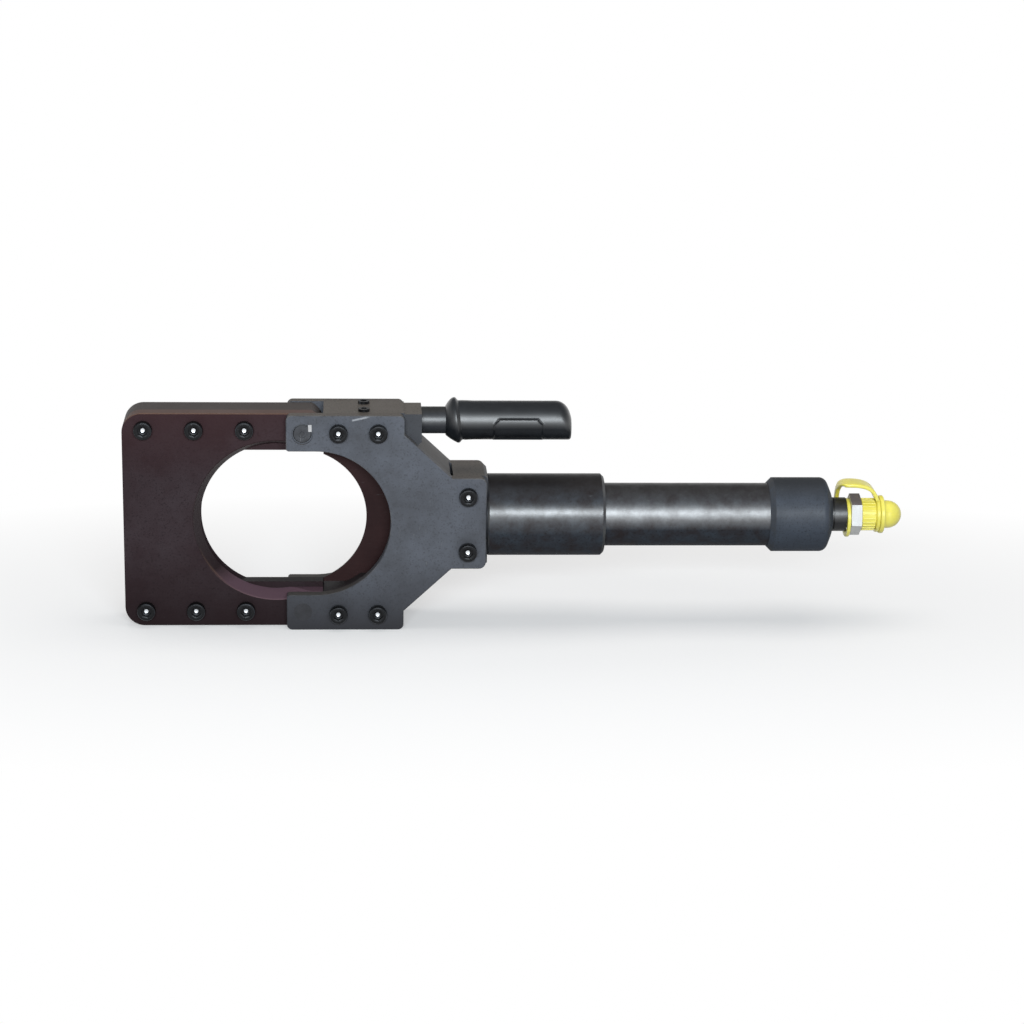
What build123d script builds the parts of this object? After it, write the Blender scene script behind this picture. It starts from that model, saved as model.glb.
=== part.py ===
"""Guillotine head of a remote-pump hydraulic cable cutter, with a swinging jaw and a spring-return ram.

Millimetres. X runs along the ram towards the hose coupler, Z up towards the handle, Y from front to back.
The origin is the centre of the round cable hole, on the ram's axis.
"""

import os

from build123d import *

# Cable hole and cutting edges
cable_opening = 120.0
cut_overreach = 6.0
hole_bevel = 6.0
blade_edge_overreach = 1.0
blade_reveal = 21.0
blade_overtravel = 2.5
blade_land = 2.0
blade_bevel = 6.0

# Thicknesses across the head
blade_thickness = 12.0
blade_side_gap = 0.3
blade_edge_gap = 0.3
jaw_plate_thickness = 13.7
jaw_side_gap = 0.3
side_plate_thickness = 10.0

# Head outline
rail_to_pin = 20.5
rail_to_screw = 21.8
pin_to_edge = 15.5
frame_rise = 0.9
nose_width = 60.0
nose_corner_radius = 17.0
hinge_x = 23.0
ear_radius = 17.4
ear_to_block_gap = 0.6
arm_overlap = 14.0
throat_relief = 5.0
throat_inset = 6.5
throat_web = 11.5
arm_end_height = 17.2
shoulder_length = 41.5
neck_height = 82.0
neck_length = 30.0
neck_seam_inset = 1.0
neck_seam_gap = 2.5
arm_corner_radius = 5.0
throat_corner_radius = 2.5
neck_corner_radius = 6.0
edge_break = 0.6
pick_margin = 1.0

# Rail blocks and the handle boss
groove_depth = 8.0
groove_end_wall = 9.0
strip_thickness = 4.0
strip_width = 32.0
strip_gap = 0.1
pocket_half_height = 30.0
boss_length = 15.0
boss_drop = 1.1
boss_height = 27.5
boss_chamfer = 3.0

# Socket head screws
screw_radius = 5.0
screw_head_radius = 8.0
screw_head_height = 7.0
screw_head_chamfer = 1.0
screw_key_width = 8.0
screw_key_depth = 4.5
screw_hole_gap = 0.3
thread_gap = 0.05
frame_screw_grip = 16.0
jaw_screw_grip = 8.0
jaw_screw_count = 3
jaw_screw_pitch = 43.4
jaw_screw_inset = 18.4
arm_screw_count = 2
arm_screw_pitch = 34.3
arm_screw_inset = 13.0
neck_screw_inset = 16.0
neck_screw_z = 25.0

# Set screws on top
set_screw_inset = 35.0
set_screw_spread = 13.5
set_screw_radius = 5.0
set_screw_rise = 2.5
set_screw_key_width = 5.0
set_screw_key_depth = 4.0

# Hinge pin and latch pin
pin_radius = 8.0
pin_running_gap = 0.05
pin_seat_gap = 0.02
pin_recess = 1.4
pin_chamfer = 0.8
pin_recess_radius = 9.25
pin_recess_depth = 2.0
pin_ring_inner_radius = 1.8
pin_ring_outer_radius = 3.6
pin_ring_depth = 0.8
keeper_width = 3.0
keeper_height = 6.5
keeper_depth = 3.5
keeper_offset_x = 6.6
keeper_offset_z = 5.0
keeper_gap = 0.05
latch_flat = 8.4
latch_mouth = 12.0
latch_groove_width = 5.0
latch_groove_depth = 1.5
latch_shank_flat = 10.0
knob_gap = 0.4
knob_radius = 13.0
knob_thickness = 5.0
knob_wing_length = 24.0
knob_wing_width = 7.0
knob_wing_height = 7.0
retainer_radius = 2.0
retainer_gap = 0.3

# Blade tail and ram
tail_height = 44.0
tail_length = 23.0
rod_radius = 15.0
rod_running_gap = 0.05
rod_bore_radius = 10.5
rod_nose = 35.5
fork_depth = 28.0
fork_gap = 0.05
blade_pin_radius = 5.0
blade_pin_inset = 15.0
blade_pin_length = 26.0
rod_web = 30.0

# Cylinder
bore_radius = 22.5
piston_running_gap = 0.05
barrel_wall = 5.25
sleeve_wall = 8.25
sleeve_length = 102.5
sleeve_front_chamfer = 1.2
sleeve_chamfer = 2.5
head_block_overhang = 1.5
head_block_chamfer = 3.0
spigot_length = 36.0
joint_gap = 0.05
barrel_end_gap = 1.0
gland_length = 25.0
piston_length = 27.0
piston_lip = 4.0
piston_stop_gap = 2.0
oil_room = 6.0
cap_wall = 5.0
cap_length = 57.0
cap_socket = 15.0
cap_front_chamfer = 4.2
cap_rear_slope = 6.0
cap_rear_drop = 14.0
cap_shoulder_radius = 6.5
cap_rear_radius = 18.0
oil_port_radius = 4.0

# Seals, held in square grooves
seal_depth = 3.0
seal_width = 5.0
groove_inset = 5.0
groove_pitch = 10.0
wiper_width = 6.0
seal_gap = 0.02

# Return spring
spring_outer_radius = 9.5
spring_inner_radius = 6.0
spring_end_gap = 0.3
spring_pin_radius = 2.5
spring_pin_recess = 1.0
spring_pin_inset = 6.0
anchor_thread_radius = 6.0
anchor_thread_length = 12.0
anchor_neck_radius = 4.0
anchor_reach = 40.0
anchor_collar_radius = 8.0
anchor_collar_length = 4.0
anchor_bore_radius = 2.0

# Handle
handle_drop = 11.3
stud_radius = 11.75
stud_length = 21.0
stud_thread_radius = 7.0
stud_thread_length = 26.0
stud_core_radius = 9.0
stud_core_length = 92.0
grip_radius = 17.0
grip_length = 109.5
grip_gap = 0.05
grip_face_radius = 13.4
grip_flare_length = 8.4
grip_collar_radius = 20.0
grip_collar_width = 1.6
grip_step_width = 2.6
grip_end_radius = 8.0

# Hose coupler
washer_thickness = 2.0
washer_radius = 13.5
stub_radius = 15.0
stub_length = 11.0
stub_thread_radius = 10.0
stub_thread_length = 15.0
coupler_thread_radius = 7.0
coupler_thread_length = 12.0
coupler_neck_radius = 10.0
coupler_neck_length = 3.6
hex_width = 32.0
hex_turn = 18.0
hex_length = 9.5
hex_chamfer = 1.6
hex_face_inset = 0.3
nipple_radius = 10.0
nipple_length = 26.0
nipple_chamfer = 1.0
valve_radius = 4.95
valve_running_gap = 0.05
valve_length = 10.0
valve_travel = 4.0
valve_inset = 1.0
valve_spring_solid = 7.0
valve_spring_inner_radius = 3.2
valve_spring_gap = 0.2

# Dust cap and its tether
cap_fit_gap = 0.3
dust_cap_radius = 14.4
dust_cap_skirt = 13.0
dust_cap_groove_radius = 12.9
dust_cap_groove_width = 3.6
dust_cap_flange_radius = 16.9
dust_cap_flange_width = 3.6
dust_cap_dome_radius = 12.3
dust_cap_dome_length = 16.8
dust_cap_dome_round = 11.5
dust_cap_rib_count = 24
dust_cap_rib_width = 1.6
dust_cap_rib_depth = 0.7
tether_ring_radius = 17.4
tether_ring_gap = 0.3
tether_width = 18.0
tether_thickness = 3.6
tether_rise = 12.0
tether_back_lean = 9.0
tether_bend_radius = 6.0

# Layers from the middle outwards, front to back
slot_half = blade_thickness / 2 + blade_side_gap
jaw_half_width = slot_half + jaw_plate_thickness
frame_half_width = jaw_half_width + jaw_side_gap
outer_half_width = frame_half_width + side_plate_thickness

# Radii that follow from the bore
barrel_radius = bore_radius + barrel_wall
sleeve_radius = barrel_radius + sleeve_wall
cap_radius = barrel_radius + cap_wall

# Heights above the ram's axis, the same below it
guide_half = cable_opening / 2
throat_half = guide_half + throat_relief
cut_radius = guide_half + cut_overreach
hole_radius = cut_radius + hole_bevel
pin_row_z = guide_half + rail_to_pin
screw_row_z = guide_half + rail_to_screw
jaw_half_height = pin_row_z + pin_to_edge
head_half_height = jaw_half_height + frame_rise
arm_end_z = head_half_height - arm_end_height
neck_half_height = neck_height / 2
blade_half_height = guide_half - blade_edge_gap
groove_edge_z = guide_half - groove_depth

# Stations along the head
jaw_left_x = -(hole_radius + nose_width)
ear_right_x = hinge_x + ear_radius
block_left_x = ear_right_x + ear_to_block_gap
throat_x = block_left_x - throat_inset
throat_right_x = throat_x + throat_half
arm_left_x = hinge_x - arm_overlap
arm_right_x = throat_right_x + throat_web
neck_left_x = arm_right_x + shoulder_length
neck_right_x = neck_left_x + neck_length
boss_right_x = arm_right_x + boss_length
blade_edge_radius = guide_half + blade_edge_overreach
blade_edge_x = throat_right_x - blade_reveal
blade_arc_x = blade_edge_x - blade_edge_radius
blade_tip_x = block_left_x
stroke = blade_edge_x + cut_radius + blade_overtravel
shoulder_slope = (arm_end_z - neck_half_height) / shoulder_length
groove_right_x = arm_right_x + (arm_end_z - guide_half) / shoulder_slope - groove_end_wall
strip_left_x = throat_x + (throat_half**2 - guide_half**2) ** 0.5
blade_shoulder_x = groove_right_x - blade_overtravel
blade_tail_x = blade_shoulder_x + tail_length

# Stations along the ram and the cylinder
head_block_left_x = neck_left_x + neck_seam_inset
rail_right_x = head_block_left_x - neck_seam_gap
head_block_right_x = neck_right_x + head_block_overhang
rod_left_x = head_block_left_x - rod_nose
blade_pin_x = rod_left_x + blade_pin_inset
spigot_right_x = head_block_right_x + spigot_length
sleeve_right_x = head_block_right_x + sleeve_length
barrel_left_x = spigot_right_x + barrel_end_gap
gland_right_x = barrel_left_x + gland_length
piston_left_x = gland_right_x + stroke + piston_stop_gap
rod_right_x = piston_left_x + piston_length
piston_right_x = rod_right_x + piston_lip
rear_cap_left_x = piston_right_x + oil_room
socket_end_x = rear_cap_left_x + cap_socket
barrel_right_x = socket_end_x - barrel_end_gap
rear_cap_right_x = rear_cap_left_x + cap_length
rod_bore_left_x = rod_left_x + rod_nose + fork_depth + rod_web
spring_pin_x = rod_bore_left_x + spring_pin_inset
anchor_left_x = socket_end_x - anchor_reach
spring_left_x = spring_pin_x + spring_pin_radius + spring_end_gap
spring_right_x = anchor_left_x - spring_end_gap
piston_seal_x = piston_left_x + groove_inset
piston_guide_x = piston_seal_x + groove_pitch
gland_seal_x = barrel_left_x + groove_pitch
cap_seal_x = rear_cap_left_x + groove_inset

# Stations along the handle and the hose coupler
handle_z = head_half_height - handle_drop
grip_left_x = boss_right_x + stud_length
stub_left_x = rear_cap_right_x + washer_thickness
stub_right_x = stub_left_x + stub_length
hex_left_x = stub_right_x + coupler_neck_length
nipple_left_x = hex_left_x + hex_length
nipple_right_x = nipple_left_x + nipple_length
dust_cap_left_x = nipple_left_x + cap_fit_gap
dust_groove_left_x = dust_cap_left_x + dust_cap_skirt
dust_flange_left_x = dust_groove_left_x + dust_cap_groove_width
dust_dome_left_x = dust_flange_left_x + dust_cap_flange_width
dust_cap_right_x = dust_dome_left_x + dust_cap_dome_length
valve_right_x = nipple_right_x - valve_inset
valve_left_x = valve_right_x - valve_length
valve_spring_left_x = valve_left_x - valve_travel - valve_spring_solid

# Screw places
jaw_screw_x = [jaw_left_x + jaw_screw_inset + jaw_screw_pitch * i for i in range(jaw_screw_count)]
arm_screw_x = [block_left_x + arm_screw_inset + arm_screw_pitch * i for i in range(arm_screw_count)]
jaw_screw_places = [(x, z) for x in jaw_screw_x for z in (screw_row_z, -screw_row_z)]
upper_screw_places = [(x, screw_row_z) for x in arm_screw_x]
lower_screw_places = [(x, -screw_row_z) for x in arm_screw_x]
neck_screw_places = [(neck_right_x - neck_screw_inset, z) for z in (neck_screw_z, -neck_screw_z)]
frame_screw_places = upper_screw_places + lower_screw_places + neck_screw_places
frame_shank_length = side_plate_thickness + frame_screw_grip
jaw_shank_length = jaw_plate_thickness + 2 * slot_half + jaw_screw_grip


def slab(outline, y_from, y_to):
    """Solid of an outline drawn in X and Z, from one depth to another."""
    return extrude(Plane.XZ.offset(-y_from) * outline, amount=y_from - y_to)


def outline_of(points):
    """Face inside a closed run of straight lines."""
    return make_face(Polyline(*points, close=True))


def pane(x_from, x_to, z_from, z_to):
    """Upright rectangle between two stations and two heights."""
    centre = Pos((x_from + x_to) / 2, (z_from + z_to) / 2)
    return centre * Rectangle(x_to - x_from, z_to - z_from)


def cross_rod(x, z, radius, y_from, y_to):
    """Round bar that runs from front to back."""
    return slab(Pos(x, z) * Circle(radius), y_from, y_to)


def long_rod(x_from, x_to, radius, z=0.0):
    """Round bar that runs along the ram."""
    return Pos((x_from + x_to) / 2, 0, z) * Rot(0, 90, 0) * Cylinder(radius, x_to - x_from)


def long_tube(x_from, x_to, outer_radius, inner_radius):
    """Tube that runs along the ram, on its axis."""
    return long_rod(x_from, x_to, outer_radius) - long_rod(x_from, x_to, inner_radius)


def turned(points, z=0.0):
    """Turned piece from the stations and radii of its half section."""
    return Pos(0, 0, z) * revolve(Plane.XZ * outline_of(points), Axis.X)


def socket_screw(shank_length):
    """Socket head screw, its seat at the origin and its shank along +Y."""
    head = cross_rod(0, 0, screw_head_radius, -screw_head_height, 0)
    head = chamfer(head.edges().group_by(Axis.Y)[0], screw_head_chamfer)
    key = RegularPolygon(screw_key_width / 2, 6, major_radius=False)
    head -= slab(key, -screw_head_height, screw_key_depth - screw_head_height)
    return head + cross_rod(0, 0, screw_radius, 0, shank_length)


def screw_room(plate_thickness, grip):
    """Clearance hole and tapped hole of a socket screw, its seat at the origin."""
    clearance = cross_rod(0, 0, screw_radius + screw_hole_gap, 0, plate_thickness)
    return clearance + cross_rod(0, 0, screw_radius + thread_gap, plate_thickness, plate_thickness + grip)


def from_front(shape, place, face_y):
    """Screw, or its room, set on the front face at a place."""
    return Pos(place[0], -face_y, place[1]) * shape


def from_back(shape, place, face_y):
    """Screw, or its room, set on the back face at a place."""
    return Pos(place[0], face_y, place[1]) * Rot(0, 0, 180) * shape


def frame_screw_rooms(places):
    """Holes for the side plates' screws at these places, from both faces."""
    room = screw_room(side_plate_thickness, frame_screw_grip + thread_gap)
    rooms = [from_front(room, place, outer_half_width) for place in places]
    return rooms + [from_back(room, place, outer_half_width) for place in places]


def jaw_screw_rooms():
    """Holes for the screws that go through the jaw from its front face."""
    room = screw_room(jaw_plate_thickness, 2 * slot_half + jaw_screw_grip + thread_gap)
    return [from_front(room, place, jaw_half_width) for place in jaw_screw_places]


def jaw_blank():
    """Outline of the jaw before the cable hole: a rounded nose and two round-ended ears."""
    blank = pane(jaw_left_x, hinge_x, -jaw_half_height, jaw_half_height)
    nose_corners = [v for v in blank.vertices() if v.X < (jaw_left_x + hinge_x) / 2]
    blank = fillet(nose_corners, nose_corner_radius)
    ears = pane(hinge_x, ear_right_x, -pin_row_z, pin_row_z)
    for z in (pin_row_z, -pin_row_z):
        ears += Pos(hinge_x, z) * Circle(ear_radius)
    return blank + (ears & pane(hinge_x, ear_right_x, -jaw_half_height, jaw_half_height))


def latch_room():
    """Round seat of the latch pin in the lower ear, with its narrow mouth towards the frame."""
    seat = Pos(hinge_x, -pin_row_z) * Circle(pin_radius + pin_running_gap)
    mouth_half = latch_mouth / 2
    mouth = pane(hinge_x, ear_right_x + pin_radius, -pin_row_z - mouth_half, -pin_row_z + mouth_half)
    return slab(seat + mouth, -jaw_half_width, jaw_half_width)


def hinge_room():
    """Running bore of the hinge pin in the upper ear."""
    return cross_rod(hinge_x, pin_row_z, pin_radius + pin_running_gap, -jaw_half_width, jaw_half_width)


def broken_edge(plate, side):
    """Plate with the sharp edges of its outer face taken off, -1 in front and 1 behind."""
    layers = plate.edges().group_by(Axis.Y)
    return chamfer(layers[0] if side < 0 else layers[-1], edge_break)


def hole_cone(side):
    """Tapered room of the cable hole, from the cutting edge at the slot to a jaw plate's outer face."""
    cone = Cone(cut_radius, hole_radius, jaw_plate_thickness)
    return Pos(0, side * (slot_half + jaw_half_width) / 2, 0) * Rot(-side * 90, 0, 0) * cone


def jaw_plate(side):
    """Jaw plate with the cable hole open towards the blade, -1 in front and 1 behind."""
    outline = jaw_blank() - Circle(cut_radius)
    outline -= pane(0, ear_right_x + pin_radius, -throat_half, throat_half)
    y_from, y_to = sorted((side * slot_half, side * jaw_half_width))
    plate = slab(outline, y_from, y_to) - hole_cone(side)
    plate = broken_edge(plate, side)
    return plate - hinge_room() - latch_room() - jaw_screw_rooms()


def jaw_bar(sign):
    """Spacer bar between the jaw plates, above the blade's path or below it."""
    z_range = sorted((sign * guide_half, sign * jaw_half_height))
    outline = jaw_blank() & pane(jaw_left_x, ear_right_x, *z_range)
    bar = slab(outline, -slot_half, slot_half) - hinge_room() - latch_room()
    return bar - jaw_screw_rooms()


def throat():
    """Outline of the C-shaped opening in the fixed frame."""
    return Pos(throat_x, 0) * Circle(throat_half) + pane(arm_left_x, throat_x, -throat_half, throat_half)


def side_plate_outline():
    """Outline of a side plate: two arms round the throat, two shoulders and a neck."""
    upper = [
        (arm_left_x, head_half_height),
        (arm_right_x, head_half_height),
        (arm_right_x, arm_end_z),
        (neck_left_x, neck_half_height),
        (neck_right_x, neck_half_height),
    ]
    lower = [(x, -z) for x, z in reversed(upper)]
    outline = outline_of(upper + lower)
    neck_corners = [v for v in outline.vertices() if v.X > neck_left_x + pick_margin]
    outline = fillet(neck_corners, neck_corner_radius)
    arm_corners = [v for v in outline.vertices() if abs(v.Y) > arm_end_z + pick_margin]
    outline = fillet(arm_corners, arm_corner_radius)
    outline -= throat()
    inner_z = throat_half + pick_margin
    tips = [v for v in outline.vertices() if v.X < arm_left_x + pick_margin and abs(v.Y) < inner_z]
    return fillet(tips, throat_corner_radius)


def side_plate(side):
    """Side plate with its screw holes and pin holes, -1 in front and 1 behind."""
    y_from, y_to = sorted((side * frame_half_width, side * outer_half_width))
    plate = broken_edge(slab(side_plate_outline(), y_from, y_to), side)
    plate -= cross_rod(hinge_x, pin_row_z, pin_radius + pin_seat_gap, y_from, y_to)
    plate -= cross_rod(hinge_x, -pin_row_z, pin_radius + pin_running_gap, y_from, y_to)
    recess_y = sorted((side * outer_half_width, side * (outer_half_width - pin_recess_depth)))
    plate -= cross_rod(hinge_x, pin_row_z, pin_recess_radius, *recess_y)
    plate -= frame_screw_rooms(frame_screw_places)
    if side < 0:
        plate -= keeper_key(keeper_gap)
        plate -= retainer_rod(thread_gap)
    return plate


def rail_block(sign):
    """Block between the side plates, grooved for the blade: 1 above the ram, -1 below it."""
    points = [
        (block_left_x, groove_edge_z),
        (block_left_x, head_half_height),
        (arm_right_x, head_half_height),
        (arm_right_x, arm_end_z),
        (rail_right_x, neck_half_height + (neck_left_x - rail_right_x) * shoulder_slope),
        (rail_right_x, pocket_half_height),
        (groove_right_x, pocket_half_height),
        (groove_right_x, groove_edge_z),
    ]
    outline = outline_of([(x, sign * z) for x, z in points]) - throat()
    block = slab(outline, -frame_half_width, frame_half_width)
    groove_z = sorted((sign * groove_edge_z, sign * guide_half))
    block -= slab(pane(block_left_x, groove_right_x, *groove_z), -slot_half, slot_half)
    block -= strip_bar(sign, strip_gap)
    return block - frame_screw_rooms(upper_screw_places if sign > 0 else lower_screw_places)


def strip_bar(sign, gap):
    """Bar behind the blade's edge, or its slot when a gap is given."""
    z_range = sorted((sign * guide_half, sign * (guide_half + strip_thickness + gap)))
    half_width = strip_width / 2 + gap
    return slab(pane(strip_left_x - gap, groove_right_x, *z_range), -half_width, half_width)


def upper_rail_block():
    """Upper block with the handle boss and the tapped holes of the set screws."""
    boss_top = head_half_height - boss_drop
    boss = pane(throat_right_x, boss_right_x, boss_top - boss_height, boss_top)
    boss_corner = [v for v in boss.vertices() if v.X > arm_right_x and v.Y < handle_z]
    boss = chamfer(boss_corner, boss_chamfer)
    block = rail_block(1) + slab(boss, -frame_half_width, frame_half_width)
    block -= strip_bar(1, strip_gap)
    thread_left_x = boss_right_x - stud_thread_length
    block -= long_rod(thread_left_x - joint_gap, boss_right_x, stud_thread_radius + thread_gap, handle_z)
    return block - [set_screw_hole(side) for side in (-1, 1)]


def set_screw_hole(side):
    """Tapped hole from the top of the head down to the guide strip."""
    depth = head_half_height - guide_half - strip_thickness
    centre = Pos(block_left_x + set_screw_inset, side * set_screw_spread, head_half_height - depth / 2)
    return centre * Cylinder(set_screw_radius + thread_gap, depth)


def top_set_screws():
    """Two set screws that bear on the upper guide strip."""
    length = head_half_height - guide_half - strip_thickness + set_screw_rise
    key = RegularPolygon(set_screw_key_width / 2, 6, major_radius=False)
    screw = Cylinder(set_screw_radius, length)
    screw -= Pos(0, 0, length / 2 - set_screw_key_depth) * extrude(key, amount=set_screw_key_depth)
    x = block_left_x + set_screw_inset
    z = guide_half + strip_thickness + length / 2
    return [Pos(x, side * set_screw_spread, z) * screw for side in (-1, 1)]


def cylinder_head_block():
    """Block between the necks, with a round spigot for the sleeve and a bore for the rod."""
    half = neck_half_height
    outline = pane(head_block_left_x, head_block_right_x, -half, half)
    rear_corners = [v for v in outline.vertices() if v.X > neck_right_x]
    outline = chamfer(rear_corners, head_block_chamfer)
    block = slab(outline, -frame_half_width, frame_half_width)
    block += long_rod(head_block_left_x + wiper_width, spigot_right_x, barrel_radius)
    block &= slab(pane(head_block_left_x, spigot_right_x, -half, half), -barrel_radius, barrel_radius)
    neck_cover = pane(head_block_left_x, neck_right_x, -half, half)
    block -= slab(neck_cover, -outer_half_width, -frame_half_width)
    block -= slab(neck_cover, frame_half_width, outer_half_width)
    block -= long_rod(head_block_left_x, spigot_right_x, rod_radius + rod_running_gap)
    block -= long_rod(head_block_left_x, head_block_left_x + wiper_width, rod_radius + seal_depth)
    return block - frame_screw_rooms(neck_screw_places)


def frame_screws(place_screw):
    """All the screws of one side plate."""
    screw = socket_screw(frame_shank_length)
    return [place_screw(screw, place, outer_half_width) for place in frame_screw_places]


def jaw_screws():
    """The screws through the jaw."""
    screw = socket_screw(jaw_shank_length)
    return [from_front(screw, place, jaw_half_width) for place in jaw_screw_places]


def keeper_key(gap):
    """Small key let into the hinge pin's end and the front side plate."""
    half_width = keeper_width / 2 + gap
    half_height = keeper_height / 2 + gap
    x = hinge_x + keeper_offset_x
    z = pin_row_z + keeper_offset_z
    key = pane(x - half_width, x + half_width, z - half_height, z + half_height)
    front_y = -outer_half_width + (pin_recess if gap == 0 else 0)
    return slab(key, front_y, -outer_half_width + keeper_depth + gap)


def hinge_pin():
    """Fixed pin that the jaw swings on, with a ring groove in its front face."""
    end_y = outer_half_width - pin_recess
    pin = cross_rod(hinge_x, pin_row_z, pin_radius, -end_y, end_y)
    pin = chamfer(pin.edges().filter_by(GeomType.CIRCLE), pin_chamfer)
    ring = Circle(pin_ring_outer_radius) - Circle(pin_ring_inner_radius)
    pin -= slab(Pos(hinge_x, pin_row_z) * ring, -end_y, pin_ring_depth - end_y)
    return pin - keeper_key(keeper_gap)


def latch_shank():
    """Section of the flattened shank that carries the latch knob."""
    disc = Pos(hinge_x, -pin_row_z) * Circle(pin_radius)
    half = latch_shank_flat / 2
    return disc & pane(hinge_x - pin_radius, hinge_x + pin_radius, -pin_row_z - half, half - pin_row_z)


def latch_pin():
    """Turning pin: round in the side plates, with two flats where the ear slips past it."""
    knob_y = outer_half_width + knob_gap
    pin = cross_rod(hinge_x, -pin_row_z, pin_radius, -outer_half_width, knob_y)
    pin += slab(latch_shank(), knob_y, knob_y + knob_thickness)
    flat_half = latch_flat / 2
    flats_y = frame_half_width
    for z_from, z_to in ((flat_half, pin_radius), (-pin_radius, -flat_half)):
        cut = pane(hinge_x - pin_radius, hinge_x + pin_radius, z_from - pin_row_z, z_to - pin_row_z)
        pin -= slab(cut, -flats_y, flats_y)
    groove = Circle(pin_radius) - Circle(pin_radius - latch_groove_depth)
    groove_y = -(frame_half_width + outer_half_width) / 2
    groove_half = latch_groove_width / 2
    return pin - slab(Pos(hinge_x, -pin_row_z) * groove, groove_y - groove_half, groove_y + groove_half)


def latch_knob():
    """Round knob with a thumb wing, on the latch pin's shank behind the head."""
    disc_y = outer_half_width + knob_gap
    wing_y = disc_y + knob_thickness
    centre = Pos(hinge_x, -pin_row_z)
    disc = centre * Circle(knob_radius) - latch_shank()
    wing = centre * SlotOverall(knob_wing_length, knob_wing_width)
    return slab(disc, disc_y, wing_y) + slab(wing, wing_y, wing_y + knob_wing_height)


def retainer_rod(gap):
    """Dog-point screw from the plate's lower edge into the latch pin's groove, or its hole."""
    groove_y = -(frame_half_width + outer_half_width) / 2
    top_z = -pin_row_z - pin_radius + latch_groove_depth - retainer_gap
    centre = Pos(hinge_x, groove_y, (top_z - head_half_height) / 2)
    return centre * Cylinder(retainer_radius + gap, top_z + head_half_height)


def moving_blade():
    """Plate blade with a hollow round edge, bevelled from behind, and a tail for the ram."""
    outline = pane(blade_tip_x, blade_shoulder_x, -blade_half_height, blade_half_height)
    outline += pane(blade_shoulder_x, blade_tail_x, -tail_height / 2, tail_height / 2)
    outline -= Pos(blade_arc_x, 0) * Circle(blade_edge_radius)
    half = blade_thickness / 2
    blade = slab(outline, -half, half)
    bevel_depth = blade_thickness - blade_land
    bevel = Cone(blade_edge_radius, blade_edge_radius + blade_bevel, bevel_depth)
    blade -= Pos(blade_arc_x, half - bevel_depth / 2, 0) * Rot(-90, 0, 0) * bevel
    return blade - cross_rod(blade_pin_x, 0, blade_pin_radius + fork_gap, -half, half)


def ram():
    """Hollow rod, forked over the blade's tail and bored from behind for the return spring."""
    rod = long_rod(rod_left_x, rod_right_x, rod_radius)
    rod -= long_rod(rod_bore_left_x, rod_right_x, rod_bore_radius)
    slot_right_x = rod_left_x + fork_depth
    half = blade_thickness / 2 + fork_gap
    rod -= slab(pane(rod_left_x, slot_right_x, -rod_radius, rod_radius), -half, half)
    rod -= cross_rod(blade_pin_x, 0, blade_pin_radius + fork_gap, -rod_radius, rod_radius)
    return rod - cross_rod(spring_pin_x, 0, spring_pin_radius + fork_gap, -rod_radius, rod_radius)


def blade_pin():
    """Cross pin through the fork and the blade's tail."""
    return cross_rod(blade_pin_x, 0, blade_pin_radius, -blade_pin_length / 2, blade_pin_length / 2)


def spring_pin():
    """Cross pin in the rod that the spring's front hook holds."""
    half = rod_radius - spring_pin_recess
    return cross_rod(spring_pin_x, 0, spring_pin_radius, -half, half)


def seal_ring(x, width, outer_radius, inner_radius):
    """Square ring seal that starts at a station."""
    return long_tube(x, x + width, outer_radius - seal_gap, inner_radius + seal_gap)


def piston():
    """Cup-shaped piston screwed over the rod's rear end, grooved for a seal and a guide ring."""
    body = long_rod(piston_left_x, piston_right_x, bore_radius - piston_running_gap)
    body -= long_rod(piston_left_x, rod_right_x, rod_radius + thread_gap)
    body -= long_rod(rod_right_x, piston_right_x, rod_bore_radius)
    for x in (piston_seal_x, piston_guide_x):
        body -= long_tube(x, x + seal_width, bore_radius, bore_radius - seal_depth)
    return body


def piston_ring(x):
    """Ring in one of the piston's grooves."""
    return seal_ring(x, seal_width, bore_radius - piston_running_gap, bore_radius - seal_depth)


def gland():
    """Bronze guide of the rod in the barrel's front end, with a seal groove."""
    body = long_tube(barrel_left_x, gland_right_x, bore_radius - joint_gap, rod_radius + rod_running_gap)
    return body - long_rod(gland_seal_x, gland_seal_x + seal_width, rod_radius + seal_depth)


def cylinder_sleeve():
    """Thick sleeve that joins the barrel to the head block's spigot."""
    inner = barrel_radius + joint_gap
    return turned([
        (head_block_right_x, inner),
        (head_block_right_x, sleeve_radius - sleeve_front_chamfer),
        (head_block_right_x + sleeve_front_chamfer, sleeve_radius),
        (sleeve_right_x - sleeve_chamfer, sleeve_radius),
        (sleeve_right_x, sleeve_radius - sleeve_chamfer),
        (sleeve_right_x, inner),
    ])


def rear_cap():
    """End cap of the cylinder, with the barrel's socket, a seal groove and the oil port."""
    socket = barrel_radius + joint_gap
    cap = turned([
        (rear_cap_left_x, 0),
        (rear_cap_left_x, cap_radius - cap_front_chamfer),
        (rear_cap_left_x + cap_front_chamfer, cap_radius),
        (rear_cap_right_x - cap_rear_slope, cap_radius),
        (rear_cap_right_x, cap_radius - cap_rear_drop),
        (rear_cap_right_x, 0),
    ])
    cap = fillet(cap.edges().filter_by(GeomType.CIRCLE).sort_by(Axis.X)[-2], cap_shoulder_radius)
    cap = fillet(cap.edges().filter_by(GeomType.CIRCLE).sort_by(Axis.X)[-1], cap_rear_radius)
    cap -= long_rod(rear_cap_left_x, socket_end_x, socket)
    cap -= long_rod(cap_seal_x, cap_seal_x + seal_width, barrel_radius + seal_depth)
    anchor_right_x = socket_end_x + anchor_thread_length
    cap -= long_rod(socket_end_x, anchor_right_x, anchor_thread_radius + thread_gap)
    cap -= long_rod(anchor_right_x, rear_cap_right_x, oil_port_radius)
    stub_end_x = stub_left_x - stub_thread_length
    return cap - long_rod(stub_end_x, rear_cap_right_x, stub_thread_radius + thread_gap)


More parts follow.
